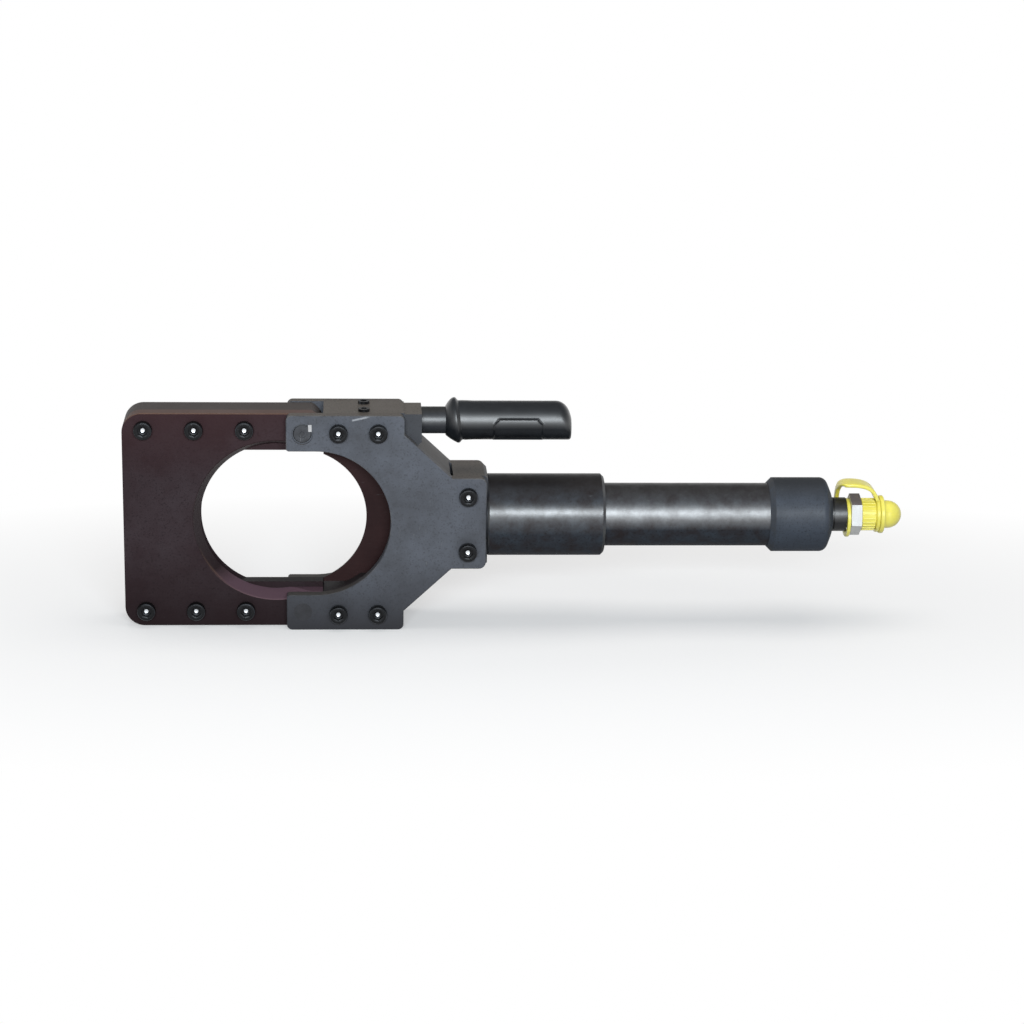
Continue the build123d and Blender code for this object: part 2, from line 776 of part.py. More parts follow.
def spring_anchor():
    """Hollow stud in the cap that holds the spring's rear end and lets the oil through."""
    right_x = socket_end_x + anchor_thread_length
    stud = long_rod(socket_end_x, right_x, anchor_thread_radius)
    stud += long_rod(anchor_left_x, socket_end_x, anchor_neck_radius)
    stud += long_rod(anchor_left_x, anchor_left_x + anchor_collar_length, anchor_collar_radius)
    return stud - long_rod(anchor_left_x, right_x, anchor_bore_radius)


def handle_stud():
    """Steel stud: a thread in the boss, a thick neck and a core inside the grip."""
    stud = long_rod(boss_right_x - stud_thread_length, boss_right_x, stud_thread_radius, handle_z)
    stud += long_rod(boss_right_x, grip_left_x, stud_radius, handle_z)
    return stud + long_rod(grip_left_x, grip_left_x + stud_core_length, stud_core_radius, handle_z)


def handle_grip():
    """Rubber grip with a flared collar and a rounded end."""
    right_x = grip_left_x + grip_length
    collar_x = grip_left_x + grip_flare_length
    step_x = collar_x + grip_collar_width
    core = stud_core_radius + grip_gap
    grip = turned([
        (grip_left_x, 0),
        (grip_left_x, grip_face_radius),
        (collar_x, grip_collar_radius),
        (step_x, grip_collar_radius),
        (step_x + grip_step_width, grip_radius),
        (right_x, grip_radius),
        (right_x, 0),
    ], handle_z)
    grip = fillet(grip.edges().group_by(Axis.X)[-1], grip_end_radius)
    return grip - long_rod(grip_left_x, grip_left_x + stud_core_length + grip_gap, core, handle_z)


def port_stub():
    """Black threaded stub between the cap's port and the coupler."""
    stub = long_rod(stub_left_x, stub_right_x, stub_radius)
    stub += long_rod(stub_left_x - stub_thread_length, stub_left_x, stub_thread_radius)
    thread_left_x = stub_right_x - coupler_thread_length
    stub -= long_rod(stub_left_x - stub_thread_length, thread_left_x, oil_port_radius)
    return stub - long_rod(thread_left_x, stub_right_x, coupler_thread_radius + thread_gap)


def hexagon_rounding():
    """Turned room that takes the corners off the coupler's hexagon at both ends."""
    face_radius = hex_width / 2 - hex_face_inset
    return turned([
        (hex_left_x, 0),
        (hex_left_x, face_radius),
        (hex_left_x + hex_chamfer, hex_width),
        (nipple_left_x - hex_chamfer, hex_width),
        (nipple_left_x, face_radius),
        (nipple_left_x, 0),
    ])


def coupler_body():
    """Male half of the hose coupler: thread, neck, hexagon and nipple, bored for its valve."""
    body = long_rod(stub_right_x - coupler_thread_length, stub_right_x, coupler_thread_radius)
    body += long_rod(stub_right_x, hex_left_x, coupler_neck_radius)
    hexagon = RegularPolygon(hex_width / 2, 6, major_radius=False, rotation=hex_turn)
    prism = Pos(hex_left_x, 0, 0) * extrude(Plane.YZ * hexagon, amount=hex_length)
    body += prism & hexagon_rounding()
    nipple = long_rod(nipple_left_x, nipple_right_x, nipple_radius)
    body += chamfer(nipple.edges().group_by(Axis.X)[-1], nipple_chamfer)
    body -= long_rod(stub_right_x - coupler_thread_length, nipple_right_x, valve_spring_inner_radius)
    return body - long_rod(valve_spring_left_x, nipple_right_x, valve_radius + valve_running_gap)


def coupler_valve():
    """Check valve plunger at the nipple's mouth."""
    return long_rod(valve_left_x, valve_right_x, valve_radius)


def dust_cap():
    """Moulded cap over the nipple: ribbed skirt, tether groove, flange and dome."""
    cap = turned([
        (dust_cap_left_x, 0),
        (dust_cap_left_x, dust_cap_radius),
        (dust_groove_left_x, dust_cap_radius),
        (dust_groove_left_x, dust_cap_groove_radius),
        (dust_flange_left_x, dust_cap_groove_radius),
        (dust_flange_left_x, dust_cap_flange_radius),
        (dust_dome_left_x, dust_cap_flange_radius),
        (dust_dome_left_x, dust_cap_dome_radius),
        (dust_cap_right_x, dust_cap_dome_radius),
        (dust_cap_right_x, 0),
    ])
    cap = fillet(cap.edges().group_by(Axis.X)[-1], dust_cap_dome_round)
    skirt_x = (dust_cap_left_x + dust_groove_left_x) / 2
    flute = Box(dust_cap_skirt, 2 * dust_cap_rib_depth, dust_cap_rib_width)
    turn = 360 / dust_cap_rib_count
    cap -= [
        Pos(skirt_x, 0, 0) * Rot(turn * i, 0, 0) * Pos(0, dust_cap_radius, 0) * flute
        for i in range(dust_cap_rib_count)
    ]
    return cap - long_rod(dust_cap_left_x, nipple_right_x + cap_fit_gap, nipple_radius + cap_fit_gap)


def cap_tether():
    """Soft strap that arches from a ring on the coupler's neck to a ring in the cap's groove."""
    ring_x = (stub_right_x + hex_left_x) / 2
    ring_half = coupler_neck_length / 2 - tether_ring_gap
    ring = long_tube(ring_x - ring_half, ring_x + ring_half, tether_ring_radius,
                     coupler_neck_radius + tether_ring_gap)
    loop_x = (dust_groove_left_x + dust_flange_left_x) / 2
    loop_half = dust_cap_groove_width / 2 - tether_ring_gap
    loop = long_tube(loop_x - loop_half, loop_x + loop_half, tether_ring_radius,
                     dust_cap_groove_radius + cap_fit_gap)
    foot_z = tether_ring_radius - tether_thickness / 2
    top_z = tether_ring_radius + tether_rise
    route = FilletPolyline(
        (ring_x, foot_z),
        (ring_x - tether_back_lean, (foot_z + top_z) / 2),
        (ring_x, top_z),
        (loop_x - tether_back_lean, top_z),
        (loop_x, foot_z),
        radius=tether_bend_radius,
    )
    strap = slab(trace(route, tether_thickness), -tether_width / 2, tether_width / 2)
    inner_radius = max(stub_radius, dust_cap_radius) + tether_ring_gap
    strap -= long_rod(ring_x - tether_back_lean - tether_thickness, loop_x + tether_thickness, inner_radius)
    strap -= long_tube(dust_flange_left_x - tether_ring_gap, dust_dome_left_x + tether_ring_gap,
                       dust_cap_flange_radius + tether_ring_gap, inner_radius)
    return strap + ring + loop


pieces = {
    "jaw_plate_front": jaw_plate(-1),
    "jaw_plate_back": jaw_plate(1),
    "jaw_upper_bar": jaw_bar(1),
    "jaw_lower_bar": jaw_bar(-1),
    "jaw_screws": jaw_screws(),
    "side_plate_front": side_plate(-1),
    "side_plate_back": side_plate(1),
    "upper_rail_block": upper_rail_block(),
    "lower_rail_block": rail_block(-1),
    "guide_strip_upper": strip_bar(1, 0),
    "guide_strip_lower": strip_bar(-1, 0),
    "cylinder_head_block": cylinder_head_block(),
    "frame_screws_front": frame_screws(from_front),
    "frame_screws_back": frame_screws(from_back),
    "top_set_screws": top_set_screws(),
    "hinge_pin": hinge_pin(),
    "hinge_pin_keeper": keeper_key(0),
    "latch_pin": latch_pin(),
    "latch_knob": latch_knob(),
    "latch_retainer_screw": retainer_rod(0),
    "moving_blade": moving_blade(),
    "ram": ram(),
    "blade_pin": blade_pin(),
    "spring_pin": spring_pin(),
    "piston": piston(),
    "piston_seal": piston_ring(piston_seal_x),
    "piston_guide_ring": piston_ring(piston_guide_x),
    "gland": gland(),
    "rod_seal": seal_ring(gland_seal_x, seal_width, rod_radius + seal_depth, rod_radius + rod_running_gap),
    "rod_wiper": seal_ring(head_block_left_x, wiper_width, rod_radius + seal_depth,
                           rod_radius + rod_running_gap),
    "return_spring": long_tube(spring_left_x, spring_right_x, spring_outer_radius, spring_inner_radius),
    "spring_anchor": spring_anchor(),
    "cylinder_sleeve": cylinder_sleeve(),
    "cylinder_barrel": long_tube(barrel_left_x, barrel_right_x, barrel_radius, bore_radius),
    "rear_cap": rear_cap(),
    "cap_seal": seal_ring(cap_seal_x, seal_width, barrel_radius + seal_depth, barrel_radius),
    "handle_stud": handle_stud(),
    "handle_grip": handle_grip(),
    "port_washer": long_tube(rear_cap_right_x, stub_left_x, washer_radius, stub_thread_radius + thread_gap),
    "port_stub": port_stub(),
    "coupler_body": coupler_body(),
    "coupler_valve": coupler_valve(),
    "valve_spring": long_tube(valve_spring_left_x, valve_left_x - valve_spring_gap,
                              valve_radius, valve_spring_inner_radius),
    "dust_cap": dust_cap(),
    "cap_tether": cap_tether(),
}

os.makedirs("parts", exist_ok=True)
for name, piece in pieces.items():
    solids = piece if isinstance(piece, list) else piece.solids()
    export_step(Compound(children=list(solids)) if len(solids) > 1 else solids[0], f"parts/{name}.step")
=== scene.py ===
import math

import bmesh
import bpy
from mathutils import Matrix, Vector


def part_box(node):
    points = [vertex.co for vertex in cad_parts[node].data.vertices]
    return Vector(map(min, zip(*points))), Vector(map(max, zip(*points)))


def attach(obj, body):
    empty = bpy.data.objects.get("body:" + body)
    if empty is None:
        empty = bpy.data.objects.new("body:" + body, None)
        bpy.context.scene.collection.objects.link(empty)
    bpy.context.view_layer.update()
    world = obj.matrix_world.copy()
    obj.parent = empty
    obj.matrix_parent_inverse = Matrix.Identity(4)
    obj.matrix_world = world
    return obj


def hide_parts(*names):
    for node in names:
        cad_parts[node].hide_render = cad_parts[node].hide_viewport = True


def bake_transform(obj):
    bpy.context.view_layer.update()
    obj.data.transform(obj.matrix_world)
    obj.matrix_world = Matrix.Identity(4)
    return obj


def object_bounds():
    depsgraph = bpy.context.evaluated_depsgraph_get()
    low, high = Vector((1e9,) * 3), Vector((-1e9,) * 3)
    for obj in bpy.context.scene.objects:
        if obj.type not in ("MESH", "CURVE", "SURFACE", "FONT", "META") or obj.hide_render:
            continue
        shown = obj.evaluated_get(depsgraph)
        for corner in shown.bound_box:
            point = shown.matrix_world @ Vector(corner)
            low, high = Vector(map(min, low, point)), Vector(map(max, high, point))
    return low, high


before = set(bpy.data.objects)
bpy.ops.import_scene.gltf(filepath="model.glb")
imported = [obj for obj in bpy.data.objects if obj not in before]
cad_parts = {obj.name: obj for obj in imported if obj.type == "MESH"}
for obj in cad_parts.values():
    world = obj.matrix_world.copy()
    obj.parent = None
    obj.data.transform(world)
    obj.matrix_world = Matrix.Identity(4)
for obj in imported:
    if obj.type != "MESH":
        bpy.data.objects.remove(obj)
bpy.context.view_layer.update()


# Jaw plates and bars: two milled steel plates screwed to spacer bars, with half of the cable hole in them.
# The steel is oil blued, a brown-violet black with rust-brown front edges; its tops are painted light and its
# lower part painted shade.
def put(tree, kind, sockets=None, **options):
    """Adds a node, sets its options and feeds its inputs with values or with other nodes' outputs."""
    made = tree.nodes.new(kind)
    for option, value in options.items():
        setattr(made, option, value)
    for key, value in (sockets or {}).items():
        if isinstance(value, bpy.types.NodeSocket):
            tree.links.new(value, made.inputs[key])
        else:
            made.inputs[key].default_value = value
    return made


def spread(tree, value, low, high):
    """Stretches the part of a value between two limits to the whole range from 0 to 1."""
    return put(tree, "ShaderNodeMapRange", {"Value": value, "From Min": low, "From Max": high}).outputs[0]


def graded(tree, value, first, last, low=0.0, high=1.0):
    """Goes from one number to another while a value rises from its low limit to its high one."""
    return put(tree, "ShaderNodeMapRange", {
        "Value": value, "From Min": low, "From Max": high, "To Min": first, "To Max": last}).outputs[0]


def times(tree, first, second):
    """One mask cut down by another, or by a number."""
    return put(tree, "ShaderNodeMath", {0: first, 1: second}, operation="MULTIPLY").outputs[0]


def blend_tones(tree, mask, first, second):
    """Goes from one colour to another where a mask rises."""
    mixed = put(tree, "ShaderNodeMix", {"Factor": mask, "A": first, "B": second}, data_type="RGBA")
    return mixed.outputs["Result"]


def steel_marks():
    """Shader group of the marks on worked steel: blotches, grain, drawn lines, scratches and worn edges, with
    masks of the faces turned up for painted light and shade and for the oil film.
    """
    group = bpy.data.node_groups.new("steel_marks", "ShaderNodeTree")
    entries = (
        ("Blotch Scale", "NodeSocketFloat"),
        ("Grain Scale", "NodeSocketFloat"),
        ("Line Scale", "NodeSocketVector"),
        ("Flat Axis", "NodeSocketVector"),
    )
    for name, kind in entries:
        group.interface.new_socket(name, in_out="INPUT", socket_type=kind)
    for name in ("Blotches", "Grain", "Lines", "Scratches", "Worn Edges", "Painted Top Light And Shade", "Upper Side"):
        group.interface.new_socket(name, in_out="OUTPUT", socket_type="NodeSocketFloat")
    given = put(group, "NodeGroupInput").outputs
    place = put(group, "ShaderNodeTexCoord").outputs
    blotch = put(group, "ShaderNodeTexNoise", {
        "Vector": place["Object"], "Scale": given["Blotch Scale"], "Detail": 8.0, "Roughness": 0.66})
    grain = put(group, "ShaderNodeTexNoise", {
        "Vector": place["Object"], "Scale": given["Grain Scale"], "Detail": 3.0})
    drawn = put(group, "ShaderNodeVectorMath", {
        0: place["Object"], 1: given["Line Scale"]}, operation="MULTIPLY")
    line = put(group, "ShaderNodeTexNoise", {"Vector": drawn.outputs[0], "Scale": 1.0, "Detail": 3.0})
    scratch = put(group, "ShaderNodeTexNoise", {"Vector": drawn.outputs[0], "Scale": 2.7, "Distortion": 0.6})
    across = put(group, "ShaderNodeVectorMath", {
        0: place["Normal"], 1: given["Flat Axis"]}, operation="DOT_PRODUCT")
    slope = put(group, "ShaderNodeMath", {0: across.outputs["Value"]}, operation="ABSOLUTE")
    chamfer_slope = 0.707
    from_chamfer = put(group, "ShaderNodeMath", {0: slope.outputs[0], 1: chamfer_slope}, operation="SUBTRACT")
    off_chamfer = put(group, "ShaderNodeMath", {0: from_chamfer.outputs[0]}, operation="ABSOLUTE")
    chamfer = spread(group, off_chamfer.outputs[0], 0.2, 0.08)
    patch = put(group, "ShaderNodeTexNoise", {"Vector": place["Object"], "Scale": 90.0, "Detail": 4.0})
    height = put(group, "ShaderNodeSeparateXYZ", {0: place["Normal"]})
    rubbed = spread(group, patch.outputs[0], 0.5, 0.62)
    put(group, "NodeGroupOutput", {
        "Blotches": spread(group, blotch.outputs[0], 0.34, 0.68),
        "Grain": grain.outputs[0],
        "Lines": line.outputs[0],
        "Scratches": times(group, spread(group, scratch.outputs[0], 0.64, 0.78), rubbed),
        "Worn Edges": times(group, chamfer, spread(group, patch.outputs[0], 0.38, 0.6)),
        "Painted Top Light And Shade": spread(group, height.outputs["Z"], 0.6, 0.95),
        "Upper Side": spread(group, height.outputs["Z"], -0.25, 0.15)})
    return group


def blank_finish(name):
    """New material, with its node tree and its surface shader."""
    material = bpy.data.materials.new(name)
    material.use_nodes = True
    return material, material.node_tree, material.node_tree.nodes["Principled BSDF"]


marks_group = steel_marks()
rubbed_oil = 0.52
oil_index = 2.15
grain_share = 0.4
relief_depth = 0.0004


def worked_steel(name, tones, flat_axis, marks, shine, bump):
    """Steel finish: two blotched tones, painted light and shade on upward faces, scratches, bare edges and an
    oil film.
    """
    material, tree, surface = blank_finish(name)
    found = put(tree, "ShaderNodeGroup", node_tree=marks_group)
    for key, value in marks.items():
        found.inputs[key].default_value = value
    found.inputs["Flat Axis"].default_value = flat_axis
    seen = found.outputs
    tone = blend_tones(tree, seen["Blotches"], tones["light"], tones["dark"])
    # Painted light and shade: faces turned up take the finish's top tone in place of their own.
    tone = blend_tones(tree, seen["Painted Top Light And Shade"], tone, tones["top"])
    tone = blend_tones(tree, spread(tree, seen["Grain"], 0.54, 0.78), tone, tones["speck"])
    tone = blend_tones(tree, seen["Scratches"], tone, tones["scratch"])
    tone = blend_tones(tree, seen["Worn Edges"], tone, tones["edge"])
    tree.links.new(tone, surface.inputs["Base Color"])
    gloss = graded(tree, seen["Blotches"], shine["rough"], shine["smooth"])
    tree.links.new(gloss, surface.inputs["Roughness"])
    surface.inputs["Metallic"].default_value = shine["metallic"]
    surface.inputs["Specular IOR Level"].default_value = shine["specular"]
    if "oil" in shine:
        wiped = graded(tree, seen["Blotches"], shine["oil"], rubbed_oil * shine["oil"])
        tree.links.new(times(tree, seen["Upper Side"], wiped), surface.inputs["Coat Weight"])
        surface.inputs["Coat Roughness"].default_value = shine["film"]
        surface.inputs["Coat IOR"].default_value = oil_index
    fine = times(tree, seen["Grain"], grain_share)
    relief = put(tree, "ShaderNodeMath", {0: fine, 1: seen["Lines"]}, operation="ADD")
    cut = put(tree, "ShaderNodeMath", {0: relief.outputs[0], 1: seen["Scratches"]}, operation="SUBTRACT")
    raised = put(tree, "ShaderNodeBump", {
        "Height": cut.outputs[0], "Strength": bump, "Distance": relief_depth})
    tree.links.new(raised.outputs[0], surface.inputs["Normal"])
    return material


def lay_over(material, mask, tone):
    """Lays another tone over a finish where a mask rises."""
    tree = material.node_tree
    base = tree.nodes["Principled BSDF"].inputs["Base Color"]
    tree.links.new(blend_tones(tree, mask, base.links[0].from_socket, tone), base)


def stain(material, tone, axis, start, end, facing=None):
    """Runs another tone into a finish from one place along an axis to another, where it is full.

    It can be kept to the faces that are turned towards an axis.
    """
    tree = material.node_tree
    place = put(tree, "ShaderNodeTexCoord").outputs
    along = put(tree, "ShaderNodeSeparateXYZ", {0: place["Object"]}).outputs[axis]
    mask = spread(tree, along, start, end)
    if facing:
        turned = put(tree, "ShaderNodeSeparateXYZ", {0: place["Normal"]}).outputs[facing]
        barely, fully = 0.3, 0.6
        mask = times(tree, mask, spread(tree, turned, barely, fully))
    lay_over(material, mask, tone)


def coat(material, *names):
    """Gives CAD nodes their finish."""
    for name in names:
        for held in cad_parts[name].material_slots:
            held.material = material


ACROSS_HEAD = (0.0, 1.0, 0.0)
ALONG_RAM = (1.0, 0.0, 0.0)
jaw_marks = {"Blotch Scale": 16.0, "Grain Scale": 620.0, "Line Scale": (50.0, 50.0, 300.0)}
jaw_shine = {"rough": 0.58, "smooth": 0.46, "metallic": 0.15, "specular": 0.08}
# The jaw's top tones are painted light on its upward faces.
jaw_front = {
    "light": (0.044, 0.032, 0.036, 1), "dark": (0.024, 0.0125, 0.0145, 1), "top": (0.125, 0.083, 0.072, 1),
    "speck": (0.018, 0.012, 0.014, 1), "scratch": (0.042, 0.032, 0.035, 1), "edge": (0.042, 0.028, 0.028, 1),
}
jaw_back = {**jaw_front, "top": (0.08, 0.07, 0.066, 1), "edge": (0.05, 0.042, 0.04, 1)}
jaw_low_shade = (0.014, 0.0075, 0.0085, 1)
jaw_red = (0.046, 0.0205, 0.0225, 1)
hole_wall_shade = (0.005, 0.0035, 0.004, 1)
rust_brown = (0.14, 0.082, 0.06, 1)
bevel_mauve = (0.115, 0.068, 0.086, 1)
throat_shade = (0.03, 0.025, 0.026, 1)
blued_front = worked_steel("blued_steel_front", jaw_front, ACROSS_HEAD, jaw_marks, jaw_shine, bump=0.25)
blued_back = worked_steel("blued_steel_back", jaw_back, ACROSS_HEAD, jaw_marks, jaw_shine, bump=0.25)
for blued, tones in ((blued_front, jaw_front), (blued_back, jaw_back)):
    stain(blued, jaw_red, "Z", start=0.035, end=0.13)
    # Painted shade: the jaw gets darker towards the bottom.
    stain(blued, jaw_low_shade, "Z", start=-0.02, end=-0.11)
    # Painted shade on the back faces turned along the ram, such as the hole's wall at its left.
    stain(blued, hole_wall_shade, "Y", start=-0.006, end=0.004, facing="X")
    # Painted light on the upward faces of the jaw's top.
    stain(blued, tones["top"], "Z", start=0.08, end=0.085, facing="Z")
stain(blued_front, rust_brown, "Y", start=-0.0165, end=-0.0205, facing="Z")
stain(blued_front, bevel_mauve, "Z", start=-0.045, end=-0.058, facing="Z")
# Painted shade on the upward faces in the lower half of the throat.
stain(blued_back, throat_shade, "Z", start=0.02, end=0.0, facing="Z")
coat(blued_front, "jaw_plate_front")
coat(blued_back, "jaw_plate_back", "jaw_upper_bar", "jaw_lower_bar")


# Moving blade: a tool steel plate with a hollow ground round edge, blued like the jaw.
# The ground bevel and the rubbed flats are a little brighter than the rest.
blade_marks = {"Blotch Scale": 20.0, "Grain Scale": 1500.0, "Line Scale": (40.0, 300.0, 300.0)}
blade_shine = {"rough": 0.52, "smooth": 0.42, "metallic": 0.2, "specular": 0.12}
blade_steel = worked_steel("blade_steel", {
    "light": (0.031, 0.0135, 0.0135, 1), "dark": (0.02, 0.0085, 0.009, 1), "top": (0.024, 0.016, 0.015, 1),
    "speck": (0.018, 0.014, 0.014, 1), "scratch": (0.05, 0.04, 0.04, 1), "edge": (0.06, 0.05, 0.045, 1),
}, ACROSS_HEAD, blade_marks, blade_shine, bump=0.2)
coat(blade_steel, "moving_blade")


# Side plates, rail blocks and cylinder head block: milled steel with a grey phosphate coat.
# The coat is matt and finely grained, bluish on the faces; its paler brownish tops are painted light and its
# lower arms painted shade.
frame_marks = {"Blotch Scale": 24.0, "Grain Scale": 640.0, "Line Scale": (300.0, 60.0, 50.0)}
frame_shine = {"rough": 0.6, "smooth": 0.5, "metallic": 0.4, "specular": 0.35}
phosphate_plate = worked_steel("phosphate_plate", {
    "light": (0.098, 0.106, 0.126, 1), "dark": (0.058, 0.061, 0.07, 1), "top": (0.142, 0.124, 0.108, 1),
    "speck": (0.048, 0.05, 0.056, 1), "scratch": (0.12, 0.125, 0.135, 1), "edge": (0.15, 0.15, 0.155, 1),
}, ACROSS_HEAD, frame_marks, frame_shine, bump=0.3)
phosphate_block = worked_steel("phosphate_block", {
    "light": (0.055, 0.058, 0.066, 1), "dark": (0.036, 0.037, 0.042, 1), "top": (0.158, 0.14, 0.122, 1),
    "speck": (0.034, 0.034, 0.037, 1), "scratch": (0.1, 0.1, 0.1, 1), "edge": (0.11, 0.11, 0.11, 1),
}, ACROSS_HEAD, frame_marks, frame_shine, bump=0.3)
plate_low_shade = (0.022, 0.0215, 0.025, 1)
streak_pale = (0.3, 0.31, 0.33, 1)
# Painted shade: the side plates get darker towards the bottom.
stain(phosphate_plate, plate_low_shade, "Z", start=-0.03, end=-0.1)
# Painted shade on the blocks' upward faces in the lower half of the throat.
stain(phosphate_block, throat_shade, "Z", start=0.02, end=0.0, facing="Z")


def pale_streak(material, tone, start, end, width):
    """Draws one long pale streak on the front plate's face between two places, both given as X and Z.

    It starts blunt, thins out over its last few widths and doesn't reach the plate behind.
    """
    tree = material.node_tree
    run = Vector((end[0] - start[0], 0.0, end[1] - start[1]))
    line = run.normalized()
    aside = (-line.z, 0.0, line.x)
    thinned = run.length - 4 * width
    full_width = 0.3 * width
    behind_y, front_y = -0.02, -0.03
    place = put(tree, "ShaderNodeTexCoord").outputs["Object"]
    origin = (start[0], 0.0, start[1])
    moved = put(tree, "ShaderNodeVectorMath", {0: place, 1: origin}, operation="SUBTRACT").outputs[0]
    along = put(tree, "ShaderNodeVectorMath", {0: moved, 1: line}, operation="DOT_PRODUCT").outputs["Value"]
    beside = put(tree, "ShaderNodeVectorMath", {0: moved, 1: aside}, operation="DOT_PRODUCT").outputs["Value"]
    off = put(tree, "ShaderNodeMath", {0: beside}, operation="ABSOLUTE").outputs[0]
    ends = times(tree, spread(tree, along, 0.0, width), spread(tree, along, run.length, thinned))
    front = spread(tree, put(tree, "ShaderNodeSeparateXYZ", {0: place}).outputs["Y"], behind_y, front_y)
    lay_over(material, times(tree, times(tree, ends, spread(tree, off, width, full_width)), front), tone)


# A pale streak near the front plate's top edge.
pale_streak(phosphate_plate, streak_pale, start=(0.0653, 0.0926), end=(0.0815, 0.0963), width=0.0011)
coat(phosphate_plate, "side_plate_front", "side_plate_back")
coat(phosphate_block, "upper_rail_block", "lower_rail_block", "cylinder_head_block")


# Socket head screws of the jaw and the side plates: black alloy steel, cold headed, with a knurled rim.
# The heads stand on the plates, and the drilled floor of the socket is bare and catches the light.
def set_down(name, data):
    """New object of the scene, from a mesh, a curve, a lamp or a lens."""
    piece = bpy.data.objects.new(name, data)
    bpy.context.scene.collection.objects.link(piece)
    return piece


def skin(name, stations, around, place=None, ring=False, bare_rows=0):
    """Closed skin through rings about local X.

    A station is a place along X with a radius, or a function of the angle that gives both.
    The faces of the first few rows can be marked as bare metal.
    """
    work = bmesh.new()
    bare = work.faces.layers.int.new("bare")
    rows = []
    for station in stations:
        row = []
        for step in range(around):
            angle = 2 * math.pi * step / around
            x, radius = station(angle) if callable(station) else station
            row.append(work.verts.new((x, -radius * math.cos(angle), radius * math.sin(angle))))
            if radius == 0:
                break
        rows.append(row)
    pairs = list(zip(rows, rows[1:])) + ([(rows[-1], rows[0])] if ring else [])
    for count, (first, second) in enumerate(pairs):
        for step in range(around):
            after = (step + 1) % around
            corners = [first[step % len(first)], first[after % len(first)],
                       second[after % len(second)], second[step % len(second)]]
            face = work.faces.new(list(dict.fromkeys(corners)))
            face[bare] = int(count < bare_rows)
            face.smooth = True
    bmesh.ops.recalc_face_normals(work, faces=work.faces)
    sharp_from = math.radians(34)
    for edge in work.edges:
        edge.smooth = edge.calc_face_angle(0.0) < sharp_from
    work.transform(place or Matrix.Identity(4))
    made = bpy.data.meshes.new(name)
    work.to_mesh(made)
    work.free()
    return set_down(name, made)


def hexagon(across_flats):
    """Radius of a hexagon at an angle, a flat facing the front."""
    def radius(angle):
        return across_flats / 2 / math.cos((angle + math.pi / 6) % (math.pi / 3) - math.pi / 6)
    return radius


def settle(piece, name):
    """Turns what Geometry Nodes made into a plain mesh of its own."""
    bpy.context.view_layer.update()
    seen = piece.evaluated_get(bpy.context.evaluated_depsgraph_get())
    plain = set_down(name, bpy.data.meshes.new_from_object(seen))
    bpy.data.objects.remove(piece)
    return plain


screw_head = 0.007
screw_radius = 0.008
shank_radius = 0.005
key_depth = 0.0034
key_shape = hexagon(across_flats=0.008)
knurl_depth = 0.0002
screw_sides = 48


def knurled(x):
    """Ring of the head's rim with fine upright grooves."""
    def station(angle):
        step = round(angle * screw_sides / (2 * math.pi))
        return x, screw_radius - (knurl_depth if step % 2 else 0.0)
    return station


def socket_screw(name, shank):
    """One screw along +Y with its seat at the origin."""
    top = -screw_head
    floor_x = top + key_depth
    return skin(name, [
        # Bowl left by the drill, whose two middle rows are bare
        (floor_x + 0.00111, 0),
        (floor_x + 0.00102, 0.0010),
        (floor_x + 0.00083, 0.0018),
        (floor_x + 0.00044, 0.0027),
        (floor_x, 0.0034),
        # Hexagon for the key, a hair narrower at its floor
        lambda angle: (floor_x, key_shape(angle) * 0.999),
        lambda angle: (top + 0.0004, key_shape(angle)),
        # Head with its rounded upper edge, knurled rim and shank
        (top, 0.0050),
        (top, 0.0069),
        (top + 0.0003, 0.0075),
        knurled(top + 0.0009),
        knurled(-0.0005),
        (0, 0.0077),
        (0, shank_radius),
        (shank, shank_radius),
        (shank, 0),
    ], screw_sides, Matrix.Rotation(math.pi / 2, 4, "Z"), bare_rows=2)


def open_tree(name, entries, result):
    """Starts a Geometry Nodes tree with named inputs and one output, and gives its inputs."""
    tree = bpy.data.node_groups.new(name, "GeometryNodeTree")
    for label, kind in entries.items():
        tree.interface.new_socket(label, in_out="INPUT", socket_type="NodeSocket" + kind)
    tree.interface.new_socket(result, in_out="OUTPUT", socket_type="NodeSocketGeometry")
    return tree, put(tree, "NodeGroupInput").outputs


def dressed(tree, shape, finish):
    """What a tree has set out, made real and given its finish."""
    real = put(tree, "GeometryNodeRealizeInstances", {"Geometry": shape})
    return put(tree, "GeometryNodeSetMaterial", {"Geometry": real.outputs[0], "Material": finish}).outputs[0]


def screw_row_tree():
    """Geometry Nodes tree that sets a screw at each point, its hexagon turned by chance."""
    tree, given = open_tree("screw_row", {
        "Places": "Geometry", "Screw": "Object", "Facing": "Float", "Seed": "Int",
        "Finish": "Material", "Bare Finish": "Material"}, "Screws")
    one = put(tree, "GeometryNodeObjectInfo", {"Object": given["Screw"]})
    chance = put(tree, "FunctionNodeRandomValue", {"Seed": given["Seed"]}, data_type="FLOAT")
    sixth_turn = math.pi / 3
    facing = put(tree, "ShaderNodeCombineXYZ", {
        "Y": times(tree, chance.outputs[1], sixth_turn), "Z": given["Facing"]})
    rows = put(tree, "GeometryNodeInstanceOnPoints", {
        "Points": given["Places"], "Instance": one.outputs["Geometry"], "Rotation": facing.outputs[0]})
    bare = put(tree, "GeometryNodeInputNamedAttribute", {"Name": "bare"}, data_type="INT")
    drilled = put(tree, "GeometryNodeSetMaterial", {
        "Geometry": dressed(tree, rows.outputs[0], given["Finish"]),
        "Selection": bare.outputs["Attribute"], "Material": given["Bare Finish"]})
    put(tree, "NodeGroupOutput", {"Screws": drilled.outputs[0]})
    return tree


def run_tree(piece, tree, values):
    """Puts a Geometry Nodes tree on an object, with its inputs set by their sockets' identifiers."""
    modifier = piece.modifiers.new(tree.name, "NODES")
    modifier.node_group = tree
    for socket in tree.interface.items_tree:
        if socket.in_out == "INPUT" and socket.name in values:
            modifier[socket.identifier] = values[socket.name]


